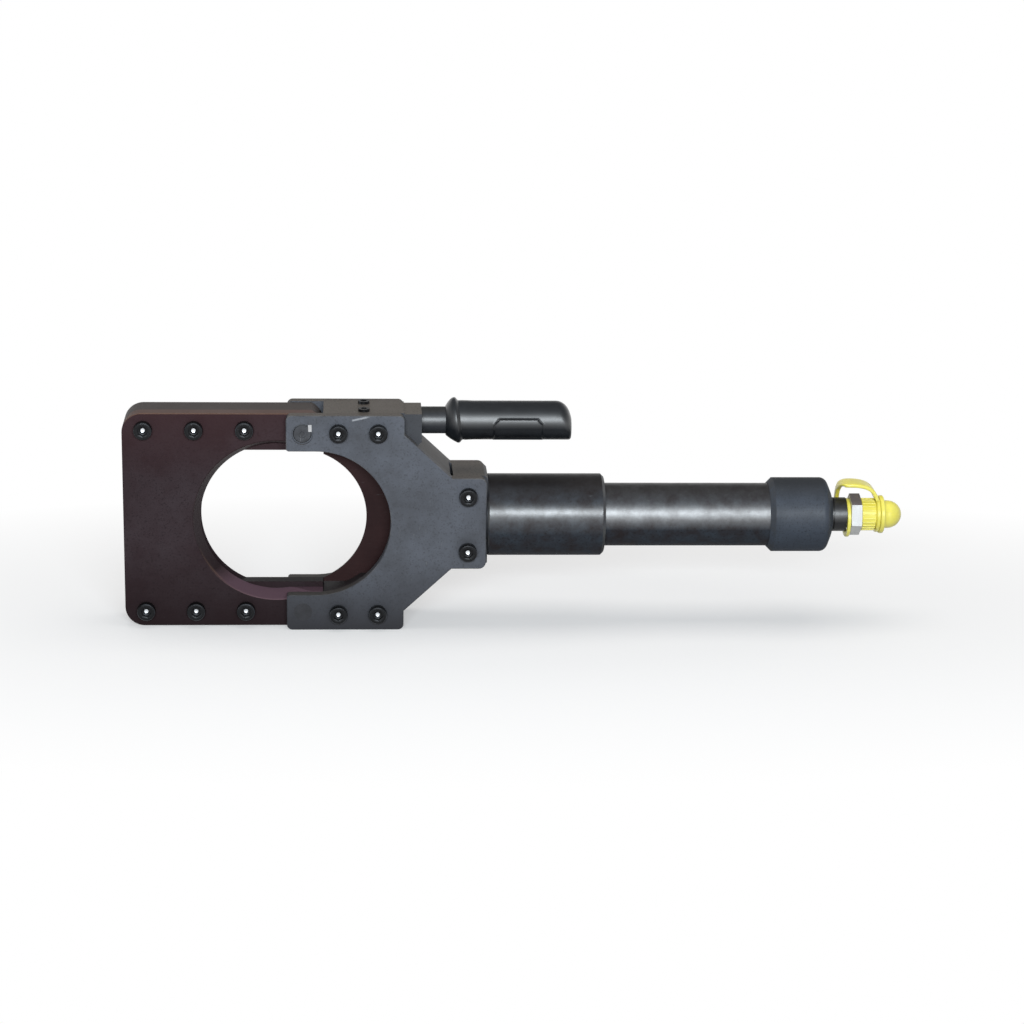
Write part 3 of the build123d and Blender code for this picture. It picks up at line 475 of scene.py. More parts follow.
screw_tree = screw_row_tree()
screw_marks = {"Blotch Scale": 160.0, "Grain Scale": 2400.0, "Line Scale": (300.0, 300.0, 300.0)}
screw_shine = {"rough": 0.42, "smooth": 0.32, "metallic": 0.7, "specular": 0.4}
floor_shine = {"rough": 0.36, "smooth": 0.32, "metallic": 1.0, "specular": 0.5}
# The edge tone is both wear and painted light on the heads' rounded rims.
screw_steel = worked_steel("screw_steel", {
    "light": (0.012, 0.0125, 0.014, 1), "dark": (0.008, 0.008, 0.009, 1), "top": (0.009, 0.009, 0.009, 1),
    "speck": (0.02, 0.02, 0.021, 1), "scratch": (0.045, 0.045, 0.047, 1), "edge": (0.07, 0.075, 0.085, 1),
}, ACROSS_HEAD, screw_marks, screw_shine, bump=0.2)
socket_floor = worked_steel("socket_floor", {
    "light": (0.82, 0.85, 0.88, 1), "dark": (0.76, 0.79, 0.82, 1), "top": (0.8, 0.82, 0.85, 1),
    "speck": (0.7, 0.72, 0.74, 1), "scratch": (0.84, 0.86, 0.88, 1), "edge": (0.84, 0.86, 0.88, 1),
}, ACROSS_HEAD, screw_marks, floor_shine, bump=0.02)


def screw_row(name, shank, places, seat_y, facing, seed):
    """All the screws of one plate, as one plain mesh."""
    one = socket_screw(name + "_one", shank)
    dots = bpy.data.meshes.new(name + "_places")
    dots.from_pydata([(x, seat_y, z) for x, z in places], [], [])
    row = set_down(name + "_row", dots)
    run_tree(row, screw_tree, {
        "Screw": one, "Facing": facing, "Seed": seed, "Finish": screw_steel, "Bare Finish": socket_floor})
    plain = settle(row, name)
    bpy.data.objects.remove(one)
    return plain


row_z = 0.0818
jaw_columns = (-0.1136, -0.0702, -0.0268)
arm_columns = (0.054, 0.0883)
neck_x = 0.1665
neck_z = 0.025
jaw_places = [(x, z) for x in jaw_columns for z in (row_z, -row_z)]
arm_places = [(x, z) for x in arm_columns for z in (row_z, -row_z)]
frame_places = arm_places + [(neck_x, neck_z), (neck_x, -neck_z)]
jaw_seat = 0.02
frame_seat = 0.0303
jaw_shank = 0.0343
frame_shank = 0.026
to_front = 0.0
to_back = math.pi
jaw_row = screw_row("socket_screws_jaw", jaw_shank, jaw_places, -jaw_seat, to_front, seed=3)
front_row = screw_row("socket_screws_front", frame_shank, frame_places, -frame_seat, to_front, seed=5)
back_row = screw_row("socket_screws_back", frame_shank, frame_places, frame_seat, to_back, seed=8)
for row, body, node in (
    (jaw_row, "jaw", "jaw_screws"),
    (front_row, "frame", "frame_screws_front"),
    (back_row, "frame", "frame_screws_back"),
):
    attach(row, body)
    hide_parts(node)


# Hinge pin with its keeper, latch pin, knob and small screws: ground pins, greyed like the plates, let in
# flush. The keeper is a bright key. The knob and the set screws are black like the other screws.
pin_marks = {"Blotch Scale": 120.0, "Grain Scale": 2500.0, "Line Scale": (300.0, 40.0, 40.0)}
pin_shine = {"rough": 0.5, "smooth": 0.4, "metallic": 0.6, "specular": 0.4}
bright_shine = {"rough": 0.4, "smooth": 0.3, "metallic": 1.0, "specular": 0.5}
pin_steel = worked_steel("pin_steel", {
    "light": (0.078, 0.082, 0.092, 1), "dark": (0.04, 0.041, 0.046, 1), "top": (0.1, 0.1, 0.1, 1),
    "speck": (0.035, 0.035, 0.035, 1), "scratch": (0.16, 0.16, 0.165, 1), "edge": (0.14, 0.14, 0.145, 1),
}, ACROSS_HEAD, pin_marks, pin_shine, bump=0.2)
bright_steel = worked_steel("bright_steel", {
    "light": (0.55, 0.56, 0.57, 1), "dark": (0.38, 0.38, 0.39, 1), "top": (0.6, 0.6, 0.6, 1),
    "speck": (0.3, 0.3, 0.3, 1), "scratch": (0.8, 0.8, 0.8, 1), "edge": (0.8, 0.8, 0.8, 1),
}, ACROSS_HEAD, pin_marks, bright_shine, bump=0.15)
latch_steel = worked_steel("latch_steel", {
    "light": (0.04, 0.04, 0.045, 1), "dark": (0.026, 0.026, 0.029, 1), "top": (0.05, 0.05, 0.05, 1),
    "speck": (0.02, 0.02, 0.02, 1), "scratch": (0.08, 0.08, 0.085, 1), "edge": (0.02, 0.02, 0.02, 1),
}, ACROSS_HEAD, pin_marks, frame_shine, bump=0.2)
coat(pin_steel, "hinge_pin", "blade_pin", "spring_pin")
coat(bright_steel, "hinge_pin_keeper")
coat(latch_steel, "latch_pin")
coat(screw_steel, "latch_knob", "top_set_screws", "latch_retainer_screw")


# Cylinder sleeve and barrel: turned steel tubes, blackened in hot salts, oiled and rubbed by handling.
# The sleeve is pressed over the joint of head block and barrel.
tube_marks = {"Blotch Scale": 72.0, "Grain Scale": 520.0, "Line Scale": (60.0, 260.0, 260.0)}
# The top tone is painted shade on the tubes' upper sides.
tube_tones = {
    "light": (0.036, 0.043, 0.053, 1), "dark": (0.024, 0.0195, 0.0205, 1), "top": (0.0185, 0.016, 0.0155, 1),
    "speck": (0.016, 0.014, 0.015, 1), "scratch": (0.06, 0.063, 0.066, 1), "edge": (0.07, 0.07, 0.07, 1),
}
tube_shine = {"rough": 0.6, "smooth": 0.5, "metallic": 0.0, "specular": 0.04}
for tube, oil, film in (("cylinder_sleeve", 0.55, 0.31), ("cylinder_barrel", 1.3, 0.41)):
    oiled = {**tube_shine, "oil": oil, "film": film}
    coat(worked_steel("black_" + tube, tube_tones, ALONG_RAM, tube_marks, oiled, bump=0.35), tube)


# Rear cap: a turned steel end cap, screwed on the barrel over a rubber seal.
# Its baked black finish is matt and a little bluish, with less oil on it than the tubes have.
rear_cap_marks = {"Blotch Scale": 44.0, "Grain Scale": 700.0, "Line Scale": (250.0, 50.0, 50.0)}
rear_cap_shine = {"rough": 0.66, "smooth": 0.56, "metallic": 0.0, "specular": 0.05, "oil": 0.16, "film": 0.42}
cap_black = worked_steel("cap_black", {
    "light": (0.058, 0.068, 0.086, 1), "dark": (0.046, 0.053, 0.066, 1), "top": (0.035, 0.038, 0.043, 1),
    "speck": (0.03, 0.032, 0.037, 1), "scratch": (0.08, 0.085, 0.09, 1), "edge": (0.05, 0.053, 0.058, 1),
}, ALONG_RAM, rear_cap_marks, rear_cap_shine, bump=0.3)
coat(cap_black, "rear_cap")


# Ram, piston and what guides them in the cylinder: the rod and piston are ground from bright steel.
# The gland, the strips behind the blade's edges and the piston's guide ring are bronze.
inner_shine = {"rough": 0.32, "smooth": 0.22, "metallic": 1.0, "specular": 0.5}
rod_marks = {"Blotch Scale": 30.0, "Grain Scale": 2200.0, "Line Scale": (500.0, 30.0, 30.0)}
bronze_marks = {"Blotch Scale": 60.0, "Grain Scale": 1500.0, "Line Scale": (500.0, 40.0, 40.0)}
rod_steel = worked_steel("rod_steel", {
    "light": (0.5, 0.5, 0.51, 1), "dark": (0.38, 0.38, 0.39, 1), "top": (0.52, 0.52, 0.52, 1),
    "speck": (0.25, 0.25, 0.25, 1), "scratch": (0.6, 0.6, 0.6, 1), "edge": (0.6, 0.6, 0.6, 1),
}, ALONG_RAM, rod_marks, inner_shine, bump=0.15)
guide_bronze = worked_steel("guide_bronze", {
    "light": (0.42, 0.26, 0.11, 1), "dark": (0.3, 0.18, 0.07, 1), "top": (0.42, 0.27, 0.12, 1),
    "speck": (0.18, 0.1, 0.04, 1), "scratch": (0.55, 0.38, 0.2, 1), "edge": (0.55, 0.38, 0.2, 1),
}, ALONG_RAM, bronze_marks, inner_shine, bump=0.2)
coat(rod_steel, "ram", "piston", "spring_anchor")
coat(guide_bronze, "gland", "guide_strip_upper", "guide_strip_lower", "piston_guide_ring")


# Springs: a long close one inside the rod pulls the ram back, a short open one holds the coupler's valve
# shut. Both are cold wound from round, oil tempered wire and reach from a fixed piece to a moving one.
def coil_tree():
    """Geometry Nodes tree that winds a round wire along X from a place."""
    tree, given = open_tree("coil_spring", {
        "Turns": "Float", "Coil Radius": "Float", "Wire Radius": "Float", "Length": "Float",
        "Start": "Float", "Finish": "Material"}, "Spring")
    helix = put(tree, "GeometryNodeCurveSpiral", {
        "Resolution": 24, "Rotations": given["Turns"], "Start Radius": given["Coil Radius"],
        "End Radius": given["Coil Radius"], "Height": given["Length"]})
    start = put(tree, "ShaderNodeCombineXYZ", {"X": given["Start"]})
    laid = put(tree, "GeometryNodeTransform", {
        "Geometry": helix.outputs[0], "Rotation": (0.0, math.pi / 2, 0.0), "Translation": start.outputs[0]})
    wire = put(tree, "GeometryNodeCurvePrimitiveCircle", {"Resolution": 8, "Radius": given["Wire Radius"]})
    swept = put(tree, "GeometryNodeCurveToMesh", {
        "Curve": laid.outputs[0], "Profile Curve": wire.outputs[0], "Fill Caps": True})
    smooth = put(tree, "GeometryNodeSetShadeSmooth", {"Geometry": swept.outputs[0]})
    put(tree, "NodeGroupOutput", {"Spring": dressed(tree, smooth.outputs[0], given["Finish"])})
    return tree


spring_tree = coil_tree()
wire_marks = {"Blotch Scale": 80.0, "Grain Scale": 2200.0, "Line Scale": (300.0, 300.0, 300.0)}
spring_wire = worked_steel("spring_wire", {
    "light": (0.16, 0.15, 0.14, 1), "dark": (0.09, 0.085, 0.08, 1), "top": (0.15, 0.14, 0.13, 1),
    "speck": (0.05, 0.05, 0.05, 1), "scratch": (0.3, 0.3, 0.3, 1), "edge": (0.2, 0.2, 0.2, 1),
}, ALONG_RAM, wire_marks, inner_shine, bump=0.1)
for node, inner_radius, turns, left_body, right_body in (
    ("return_spring", 0.0060, 58.0, "ram", "frame"),
    ("valve_spring", 0.0032, 3.5, "frame", "valve"),
):
    low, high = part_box(node)
    wire_radius = (high.z - inner_radius) / 2
    wound = set_down(node + "_wire", bpy.data.meshes.new(node + "_wire"))
    run_tree(wound, spring_tree, {
        "Turns": turns, "Coil Radius": high.z - wire_radius, "Wire Radius": wire_radius,
        "Length": high.x - low.x - 2 * wire_radius, "Start": low.x + wire_radius, "Finish": spring_wire})
    spring = settle(wound, "wound_" + node)
    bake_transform(spring)
    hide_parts(node)


# Handle: a turned steel stud in the boss and a moulded rubber grip pushed over its core.
# The grip has a slanted flared collar, a raised frame on its front and an end that is rounder above.
grip_low, grip_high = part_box("handle_grip")
grip_left = grip_low.x
grip_right = grip_high.x
grip_height = (grip_low.z + grip_high.z) / 2
grip_radius = 0.017
grip_core = 0.00905
core_end = grip_left + 0.09205
panel_left = grip_left + 0.0415
panel_right = grip_left + 0.0840
panel_low = -0.019
panel_high = 0.0048
panel_corner = 0.0044
panel_bead = 0.0009
bead_height = 0.0006
panel_sink = 0.0005
collar_slant = 0.0021
slanted_from = 0.007
end_corner = 0.002
end_round_along = 0.0115
end_round_inward = 0.0145
end_rings = 10
grip_sides = 192


def panel_relief(x, angle):
    """Height of the raised frame and the sunk panel inside it, at a place on the grip."""
    turn = (angle + math.pi) % (2 * math.pi) - math.pi
    along = abs(x - (panel_left + panel_right) / 2) - (panel_right - panel_left) / 2
    above = turn * grip_radius - panel_high
    below = panel_low - turn * grip_radius
    outside = max(along, above, below, (along + above + panel_corner) / math.sqrt(2))
    bead = max(0.0, 1 - (outside / panel_bead) ** 2)
    sunk = min(1.0, max(0.0, -outside / panel_bead))
    return bead_height * bead - panel_sink * sunk


def grip_ring(x, radius):
    """Ring of the grip's body, with the frame standing on its front."""
    return lambda angle: (x, radius + panel_relief(x, angle))


def collar_ring(x, radius):
    """Ring of the collar, which leans towards the head above."""
    slant = collar_slant * min(1.0, x / slanted_from)
    return lambda angle: (grip_left + x - slant * math.sin(angle), radius)


def grip_end(turn):
    """Ring of the grip's end, rounded far down above and only at the corner below."""
    def station(angle):
        upper = (1 + math.sin(angle)) / 2
        along = end_corner + end_round_along * upper
        inward = end_corner + end_round_inward * upper
        x = grip_right - along * (1 - math.sin(turn))
        return x, grip_radius - inward * (1 - math.cos(turn))
    return station


# Outline of the grip: the core for the stud, the flared collar, and the waist behind it
grip_stations = [
    (core_end, 0),
    (core_end, grip_core),
    (grip_left, grip_core),
    (grip_left, 0.0127),
    (grip_left + 0.0006, 0.0136),
    collar_ring(0.0028, 0.0158),
    collar_ring(0.0052, 0.0178),
    collar_ring(0.0072, 0.0191),
    collar_ring(0.0086, 0.0198),
    collar_ring(0.0098, 0.0199),
    collar_ring(0.0110, 0.0192),
    collar_ring(0.0120, 0.0179),
    collar_ring(0.0130, 0.0171),
    collar_ring(0.0155, 0.0173),
    (grip_left + 0.0195, 0.0172),
    (grip_left + 0.024, grip_radius),
]
body_step = 0.0007
body_from = grip_left + 0.0252
body_to = grip_right - 0.014
body_rings = int((body_to - body_from) / body_step)
grip_stations += [grip_ring(body_from + body_step * i, grip_radius) for i in range(body_rings)]
grip_stations += [grip_end(math.pi / 2 * i / end_rings) for i in range(end_rings + 1)]
grip_stations.append((grip_right, 0))
grip = skin("moulded_grip", grip_stations, grip_sides, Matrix.Translation((0, 0, grip_height)))


rubber_black = (0.008, 0.009, 0.011, 1)
rubber_bloom = (0.013, 0.015, 0.018, 1)


def grip_rubber():
    """Black moulded rubber: fine pores, dust bloom in patches and a soft sheen."""
    material, tree, surface = blank_finish("grip_rubber")
    place = put(tree, "ShaderNodeTexCoord").outputs
    bloom = put(tree, "ShaderNodeTexNoise", {
        "Vector": place["Object"], "Scale": 60.0, "Detail": 6.0, "Roughness": 0.6})
    pores = put(tree, "ShaderNodeTexNoise", {"Vector": place["Object"], "Scale": 2600.0, "Detail": 2.0})
    tone = blend_tones(tree, spread(tree, bloom.outputs[0], 0.4, 0.7), rubber_black, rubber_bloom)
    tree.links.new(tone, surface.inputs["Base Color"])
    gloss = graded(tree, bloom.outputs[0], first=0.3, last=0.42, low=0.35, high=0.7)
    tree.links.new(gloss, surface.inputs["Roughness"])
    surface.inputs["Specular IOR Level"].default_value = 0.15
    height = put(tree, "ShaderNodeSeparateXYZ", {0: place["Normal"]})
    tree.links.new(spread(tree, height.outputs["Z"], -0.25, 0.2), surface.inputs["Coat Weight"])
    surface.inputs["Coat Roughness"].default_value = 0.46
    surface.inputs["Coat IOR"].default_value = 1.8
    raised = put(tree, "ShaderNodeBump", {"Height": pores.outputs[0], "Strength": 0.25, "Distance": 0.0002})
    tree.links.new(raised.outputs[0], surface.inputs["Normal"])
    return material


rubber = grip_rubber()
grip.data.materials.append(rubber)
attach(grip, "frame")
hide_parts("handle_grip")
stud_marks = {"Blotch Scale": 50.0, "Grain Scale": 1800.0, "Line Scale": (300.0, 60.0, 60.0)}
stud_shine = {"rough": 0.5, "smooth": 0.42, "metallic": 0.0, "specular": 0.2, "oil": 0.52, "film": 0.42}
stud_steel = worked_steel("stud_steel", {
    "light": (0.03, 0.032, 0.037, 1), "dark": (0.02, 0.021, 0.025, 1), "top": (0.022, 0.022, 0.021, 1),
    "speck": (0.03, 0.03, 0.033, 1), "scratch": (0.1, 0.1, 0.105, 1), "edge": (0.1, 0.1, 0.1, 1),
}, ALONG_RAM, stud_marks, stud_shine, bump=0.2)
coat(stud_steel, "handle_stud")


# Seals of the cylinder: the piston's and the rod's lip seals, the wiper and the rear cap's ring.
# All are moulded in the grip's black rubber and snapped into their grooves.
coat(rubber, "piston_seal", "rod_seal", "rod_wiper", "cap_seal")


# Hose port: a black threaded stub sealed by a washer, and the zinc plated male half of a hose coupler.
# The coupler's hexagon has chamfered corners, its nipple a plain turned front with the check valve in it.
stub_marks = {"Blotch Scale": 70.0, "Grain Scale": 2000.0, "Line Scale": (300.0, 60.0, 60.0)}
stub_shine = {"rough": 0.5, "smooth": 0.4, "metallic": 0.0, "specular": 0.2, "oil": 0.7, "film": 0.4}
zinc_marks = {"Blotch Scale": 120.0, "Grain Scale": 2400.0, "Line Scale": (300.0, 90.0, 90.0)}
zinc_shine = {"rough": 0.5, "smooth": 0.42, "metallic": 0.4, "specular": 0.3}
stub_black = worked_steel("stub_black", {
    "light": (0.022, 0.022, 0.023, 1), "dark": (0.014, 0.014, 0.014, 1), "top": (0.012, 0.012, 0.012, 1),
    "speck": (0.03, 0.027, 0.025, 1), "scratch": (0.06, 0.057, 0.055, 1), "edge": (0.08, 0.075, 0.07, 1),
}, ALONG_RAM, stub_marks, stub_shine, bump=0.2)
# The top tone is painted shade on the hexagon's upper flats.
zinc_plate = worked_steel("zinc_plate", {
    "light": (0.62, 0.62, 0.61, 1), "dark": (0.5, 0.5, 0.49, 1), "top": (0.22, 0.19, 0.21, 1),
    "speck": (0.32, 0.32, 0.32, 1), "scratch": (0.8, 0.8, 0.79, 1), "edge": (0.7, 0.69, 0.66, 1),
}, ALONG_RAM, zinc_marks, zinc_shine, bump=0.08)
coat(stub_black, "port_stub", "port_washer")
coat(zinc_plate, "coupler_body", "coupler_valve")


# Dust cap: soft yellow plastic, moulded in one with its grip ribs, flange and round dome.
# It is pushed over the coupler's nipple.
cap_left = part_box("dust_cap")[0].x
cap_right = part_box("dust_cap")[1].x
cap_bore = 0.0103
cap_bore_end = cap_left + 0.026
cap_skirt_end = cap_left + 0.0130
cap_flange = cap_left + 0.0166
cap_dome = cap_left + 0.0202
skirt_radius = 0.0138
groove_radius = 0.0129
flange_radius = 0.0169
dome_radius = 0.0123
dome_reach = 0.0125
dome_rings = 14
mouth_soft = 0.0005
edge_soft = 0.0006
cap_sides = 96
rib_radius = 0.0138
rib_count = 24
rib_height = 0.0006
rib_start = 0.0006
rib_full = 0.0010
rib_sides = 10


def dome_stations():
    """Rings of the half round end."""
    rings = []
    for i in range(dome_rings + 1):
        turn = math.pi / 2 * i / dome_rings
        rings.append((cap_right - dome_reach * (1 - math.sin(turn)), dome_radius * math.cos(turn)))
    rings[-1] = (cap_right, 0)
    return rings


cap_body = skin("dust_cap_body", [
    # Bore over the nipple, and the skirt outside it
    (cap_bore_end, 0),
    (cap_bore_end, cap_bore),
    (cap_left, cap_bore),
    (cap_left, skirt_radius - mouth_soft),
    (cap_left + mouth_soft, skirt_radius),
    (cap_skirt_end - edge_soft, skirt_radius),
    (cap_skirt_end, skirt_radius - edge_soft),
    # Groove of the tether's ring, and the flange behind it
    (cap_skirt_end, groove_radius),
    (cap_flange, groove_radius),
    (cap_flange, flange_radius - edge_soft),
    (cap_flange + edge_soft, flange_radius),
    (cap_dome - edge_soft, flange_radius),
    (cap_dome, flange_radius - edge_soft),
    # Hollow root of the dome
    (cap_dome, dome_radius + 0.0008),
    (cap_dome + 0.0003, dome_radius + 0.0003),
    (cap_dome + 0.0009, dome_radius),
] + dome_stations(), cap_sides)


def rib_bar():
    """One low rib of the skirt, along X."""
    return skin("dust_cap_rib", [
        (cap_left + rib_start, 0),
        (cap_left + rib_full, rib_height),
        (cap_skirt_end - rib_full, rib_height),
        (cap_skirt_end - rib_start, 0),
    ], rib_sides)


def rib_tree():
    """Geometry Nodes tree that sets ribs round a cap and joins them with its body."""
    tree, given = open_tree("rib_ring", {
        "Body": "Geometry", "Rib": "Object", "Count": "Int", "Radius": "Float", "Finish": "Material"}, "Cap")
    circle = put(tree, "GeometryNodeMeshCircle", {"Vertices": given["Count"], "Radius": given["Radius"]})
    upright = put(tree, "GeometryNodeTransform", {
        "Geometry": circle.outputs[0], "Rotation": (0.0, math.pi / 2, 0.0)})
    one = put(tree, "GeometryNodeObjectInfo", {"Object": given["Rib"]})
    ribs = put(tree, "GeometryNodeInstanceOnPoints", {
        "Points": upright.outputs[0], "Instance": one.outputs["Geometry"]})
    joined = put(tree, "GeometryNodeJoinGeometry")
    tree.links.new(given["Body"], joined.inputs[0])
    tree.links.new(ribs.outputs[0], joined.inputs[0])
    put(tree, "NodeGroupOutput", {"Cap": dressed(tree, joined.outputs[0], given["Finish"])})
    return tree


lemon_pale = (0.9, 0.81, 0.15, 1)
lemon_deep = (0.85, 0.74, 0.1, 1)


def cap_plastic():
    """Lemon yellow soft plastic: cloudy tone, fine moulding grain and a waxy sheen."""
    material, tree, surface = blank_finish("cap_plastic")
    place = put(tree, "ShaderNodeTexCoord").outputs["Object"]
    cloud = put(tree, "ShaderNodeTexNoise", {"Vector": place, "Scale": 70.0, "Detail": 5.0})
    mould = put(tree, "ShaderNodeTexNoise", {"Vector": place, "Scale": 1600.0, "Detail": 2.0})
    tone = blend_tones(tree, spread(tree, cloud.outputs[0], 0.35, 0.7), lemon_pale, lemon_deep)
    tree.links.new(tone, surface.inputs["Base Color"])
    gloss = graded(tree, cloud.outputs[0], first=0.3, last=0.38, low=0.35, high=0.7)
    tree.links.new(gloss, surface.inputs["Roughness"])
    surface.inputs["Specular IOR Level"].default_value = 0.8
    surface.inputs["Subsurface Weight"].default_value = 0.15
    surface.inputs["Subsurface Radius"].default_value = (0.003, 0.003, 0.001)
    raised = put(tree, "ShaderNodeBump", {"Height": mould.outputs[0], "Strength": 0.12, "Distance": 0.0002})
    tree.links.new(raised.outputs[0], surface.inputs["Normal"])
    return material


yellow = cap_plastic()
rib = rib_bar()
run_tree(cap_body, rib_tree(), {"Rib": rib, "Count": rib_count, "Radius": rib_radius, "Finish": yellow})
dust_cap = settle(cap_body, "moulded_dust_cap")
bpy.data.objects.remove(rib)
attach(dust_cap, "dust_cap")
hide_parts("dust_cap")


# Tether: a broad flat strap moulded with a ring at each end, of the same yellow plastic as the cap.
# One ring turns on the coupler's neck, the other sits in the cap's groove, and the strap arches over both.
ring_x = 0.5038
loop_x = cap_left + 0.0148
strap_width = 0.021
strap_thickness = 0.0033
ring_half = 0.0015
ring_inner = 0.0132
ring_soft = 0.0004
ring_sides = 72
ring_sag = 0.003
neck_ring_outer = 0.0172
cap_ring_outer = 0.0158
# The strap's way: place along the ram, distance from its axis, and lean to the back in degrees
strap_route = [
    (ring_x, 0.0162, 100),
    (ring_x - 0.0032, 0.0166, 100),
    (ring_x - 0.0064, 0.0172, 95),
    (ring_x - 0.0068, 0.0212, 52),
    (ring_x - 0.0068, 0.0264, 12),
    (ring_x - 0.0030, 0.0287, 0),
    (ring_x + 0.0080, 0.0287, 0),
    (loop_x - 0.0092, 0.0264, 0),
    (loop_x - 0.0034, 0.0212, 0),
    (loop_x - 0.0010, 0.0152, 0),
]


def strap_tree():
    """Geometry Nodes tree that draws a flat strap with rounded edges along a route round the X axis."""
    tree, given = open_tree("flat_strap", {
        "Route": "Geometry", "Width": "Float", "Thickness": "Float", "Finish": "Material"}, "Strap")
    section = put(tree, "GeometryNodeCurvePrimitiveQuadrilateral", {
        "Width": given["Width"], "Height": given["Thickness"]})
    rounding = 0.4
    soft = put(tree, "GeometryNodeFilletCurve", {
        "Curve": section.outputs[0], "Count": 5,
        "Radius": times(tree, given["Thickness"], rounding)}, mode="POLY")
    spot = put(tree, "ShaderNodeSeparateXYZ", {0: put(tree, "GeometryNodeInputPosition").outputs[0]}).outputs
    around = put(tree, "ShaderNodeCombineXYZ", {"Y": spot["Z"], "Z": times(tree, spot["Y"], -1.0)})
    level = put(tree, "GeometryNodeSetCurveNormal", {
        "Curve": given["Route"], "Normal": around.outputs[0]}, mode="FREE")
    swept = put(tree, "GeometryNodeCurveToMesh", {
        "Curve": level.outputs[0], "Profile Curve": soft.outputs[0], "Fill Caps": True})
    smooth = put(tree, "GeometryNodeSetShadeSmooth", {"Geometry": swept.outputs[0]})
    put(tree, "NodeGroupOutput", {"Strap": dressed(tree, smooth.outputs[0], given["Finish"])})
    return tree


def strap_on_route(name):
    """The strap's arch as a plain mesh."""
    line = bpy.data.curves.new(name + "_route", "CURVE")
    line.dimensions = "3D"
    spline = line.splines.new("NURBS")
    spline.points.add(len(strap_route) - 1)
    for point, (x, radius, lean) in zip(spline.points, strap_route):
        turn = math.radians(lean)
        point.co = (x, radius * math.sin(turn), radius * math.cos(turn), 1.0)
    spline.order_u = 3
    spline.use_endpoint_u = True
    spline.resolution_u = 10
    route = set_down(name + "_line", line)
    run_tree(route, strap_tree(), {"Width": strap_width, "Thickness": strap_thickness, "Finish": yellow})
    return settle(route, name)


def flat_ring(name, x, outer, sag=0.0):
    """Moulded ring with softened corners, about the ram's axis or hanging below it."""
    left, right = x - ring_half, x + ring_half
    return skin(name, [
        (left, ring_inner + ring_soft), (left, outer - ring_soft), (left + ring_soft, outer),
        (right - ring_soft, outer), (right, outer - ring_soft), (right, ring_inner + ring_soft),
        (right - ring_soft, ring_inner), (left + ring_soft, ring_inner),
    ], ring_sides, Matrix.Translation((0, 0, -sag)), ring=True)


strap = strap_on_route("tether_strap")
neck_ring = flat_ring("tether_neck_ring", ring_x, neck_ring_outer, ring_sag)
cap_ring = flat_ring("tether_cap_ring", loop_x, cap_ring_outer)
work = bmesh.new()
for piece in (strap, neck_ring, cap_ring):
    work.from_mesh(piece.data)
work.to_mesh(strap.data)
work.free()
for piece in (neck_ring, cap_ring):
    bpy.data.objects.remove(piece)
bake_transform(strap)
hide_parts("cap_tether")


# Studio: the tool stands on its lower edges on a pale paper floor, which runs out into a white sweep.
# A narrow soft lamp hangs near the camera, a wide one above, and the sky is a soft white dome.
floor_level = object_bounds()[0][2]
floor_reach = 12.0
floor_corners = [(-floor_reach, -floor_reach, floor_level), (floor_reach, -floor_reach, floor_level),
                 (floor_reach, floor_reach, floor_level), (-floor_reach, floor_reach, floor_level)]
floor_mesh = bpy.data.meshes.new("studio_floor")
floor_mesh.from_pydata(floor_corners, [], [(0, 1, 2, 3)])
floor = set_down("studio_floor", floor_mesh)


def rays_that_see(tree):
    """1 for the rays that show the background: from the camera, off gloss and through clear pieces."""
    path = put(tree, "ShaderNodeLightPath").outputs
    seeing = path["Is Camera Ray"]
    for kind in ("Is Glossy Ray", "Is Transmission Ray"):
        seeing = put(tree, "ShaderNodeMath", {0: seeing, 1: path[kind]}, operation="MAXIMUM").outputs[0]
    return seeing


white = (1, 1, 1, 1)
paper_seen = (0.95, 0.95, 0.95, 1)
paper_unseen = (0.24, 0.24, 0.24, 1)
sweep_middle = (0.2, 0.0, floor_level)
sweep_oval = (0.45, 1.0, 1.0)


def pale_floor():
    """Matt pale paper near the object, white further out where it turns into the sweep."""
    material, tree, paper = blank_finish("pale_floor")
    seeing = rays_that_see(tree)
    tree.links.new(blend_tones(tree, seeing, paper_unseen, paper_seen), paper.inputs["Base Color"])
    paper.inputs["Roughness"].default_value = 0.9
    paper.inputs["Specular IOR Level"].default_value = 0.1
    place = put(tree, "ShaderNodeTexCoord").outputs["Object"]
    centred = put(tree, "ShaderNodeVectorMath", {0: place, 1: sweep_middle}, operation="SUBTRACT")
    oval = put(tree, "ShaderNodeVectorMath", {0: centred.outputs[0], 1: sweep_oval}, operation="MULTIPLY")
    away = put(tree, "ShaderNodeVectorMath", {0: oval.outputs[0]}, operation="LENGTH").outputs["Value"]
    far = times(tree, graded(tree, away, first=0.35, last=1.0, low=0.12, high=0.4), seeing)
    glow = put(tree, "ShaderNodeEmission", {"Color": white, "Strength": 1.0})
    both = put(tree, "ShaderNodeMixShader", {0: far, 1: paper.outputs[0], 2: glow.outputs[0]})
    tree.links.new(both.outputs[0], tree.nodes["Material Output"].inputs["Surface"])
    return material


floor.data.materials.append(pale_floor())

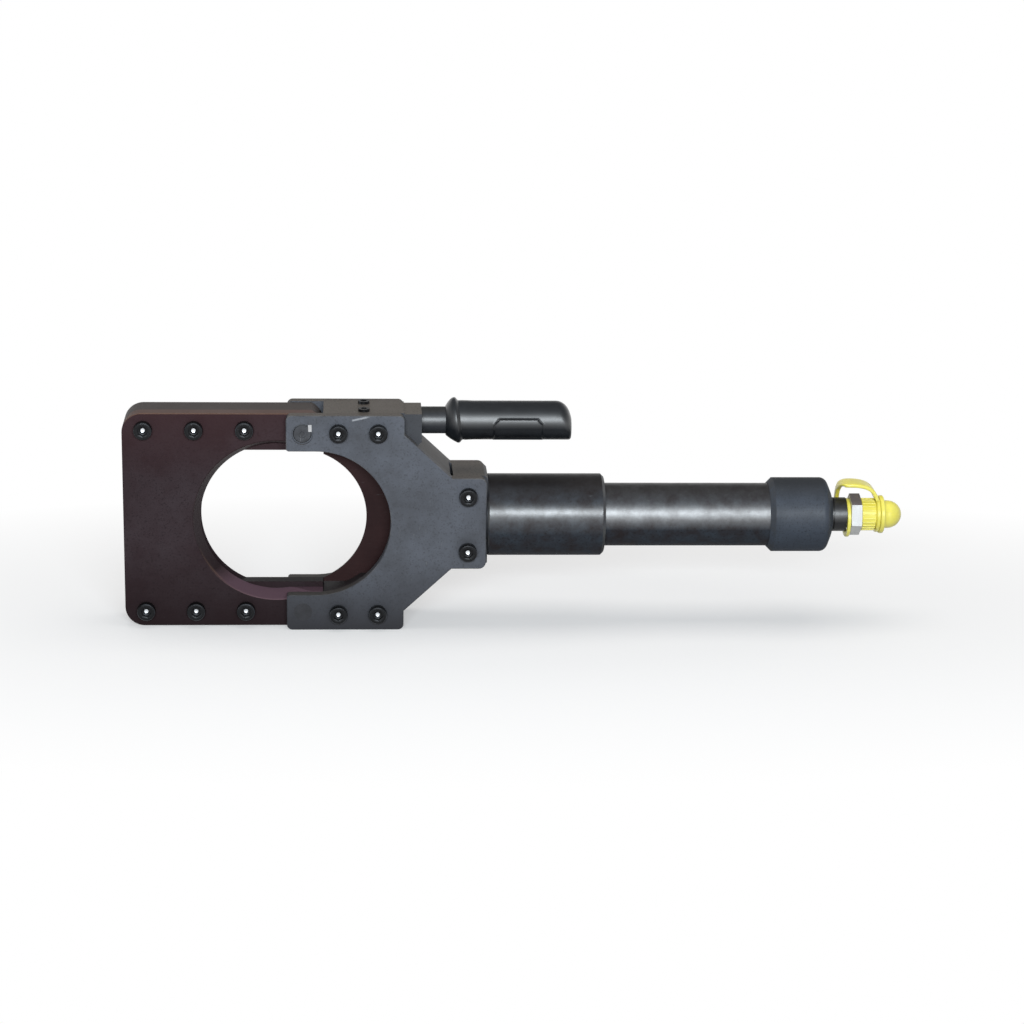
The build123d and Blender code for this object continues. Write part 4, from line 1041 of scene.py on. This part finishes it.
sky = bpy.data.worlds.new("studio_sky")
bpy.context.scene.world = sky
sky.use_nodes = True
sky_tree = sky.node_tree
sky_dome = sky_tree.nodes["Background"]
sky_top = (0.12, 0.125, 0.13, 1)
sky_light = (0.25, 0.255, 0.265, 1)
sky_direction = put(sky_tree, "ShaderNodeTexCoord").outputs["Generated"]
sky_height = put(sky_tree, "ShaderNodeSeparateXYZ", {0: sky_direction}).outputs["Z"]
sky_seen = blend_tones(sky_tree, spread(sky_tree, sky_height, 0.05, 0.5), white, sky_top)
sky_tone = blend_tones(sky_tree, rays_that_see(sky_tree), sky_light, sky_seen)
sky_tree.links.new(sky_tone, sky_dome.inputs["Color"])
sky_dome.inputs["Strength"].default_value = 1.0


def soft_lamp(name, place, aim, width, depth, watts, tone):
    """Rectangular soft lamp at a place, turned to what it lights."""
    light = bpy.data.lights.new(name, "AREA")
    light.shape = "RECTANGLE"
    light.size = width
    light.size_y = depth
    light.energy = watts
    light.color = tone
    lamp = set_down(name, light)
    lamp.location = place
    lamp.rotation_euler = (Vector(aim) - Vector(place)).to_track_quat("-Z", "Y").to_euler()
    return lamp


tool_middle = (0.2, 0.0, 0.0)
flash_blue = (0.88, 0.95, 1.0)
lamp_warm = (1.0, 0.95, 0.9)
front_place = (0.1, -2.4, 0.9)
top_place = (0.2, 0.1, 1.7)
soft_lamp("front_lamp", front_place, tool_middle, width=1.6, depth=0.4, watts=62.0, tone=flash_blue)
top_lamp = soft_lamp("top_lamp", top_place, tool_middle, width=1.6, depth=1.0, watts=12.0, tone=lamp_warm)
top_lamp.visible_glossy = False


# Camera: a long lens in front of the tool, a little above it and slightly rolled, as the picture was taken.
# Yaw and tilt turn it about the middle of the view, and roll turns it about its own line of sight.
lens = bpy.data.cameras.new("photo_camera")
lens.sensor_width = 36.0
lens.lens = 98.44
camera_yaw = math.radians(-3.58)
camera_tilt = math.radians(16.66)
camera_roll = math.radians(1.04)
camera_distance = 2.4653
camera_aim = Vector((0.2065, 0.0, 0.00187))
level = math.cos(camera_tilt)
forward = Vector((-math.sin(camera_yaw) * level, math.cos(camera_yaw) * level, -math.sin(camera_tilt)))
right = Vector((math.cos(camera_yaw), math.sin(camera_yaw), 0.0))
up = right.cross(forward)
rolled_right = right * math.cos(camera_roll) + up * math.sin(camera_roll)
rolled_up = up * math.cos(camera_roll) - right * math.sin(camera_roll)
camera = set_down("photo_camera", lens)
camera.matrix_world = Matrix.Translation(camera_aim - forward * camera_distance) @ Matrix(
    (rolled_right, rolled_up, -forward)).transposed().to_4x4()
bpy.context.scene.camera = camera
bpy.context.scene.view_settings.view_transform = "Standard"
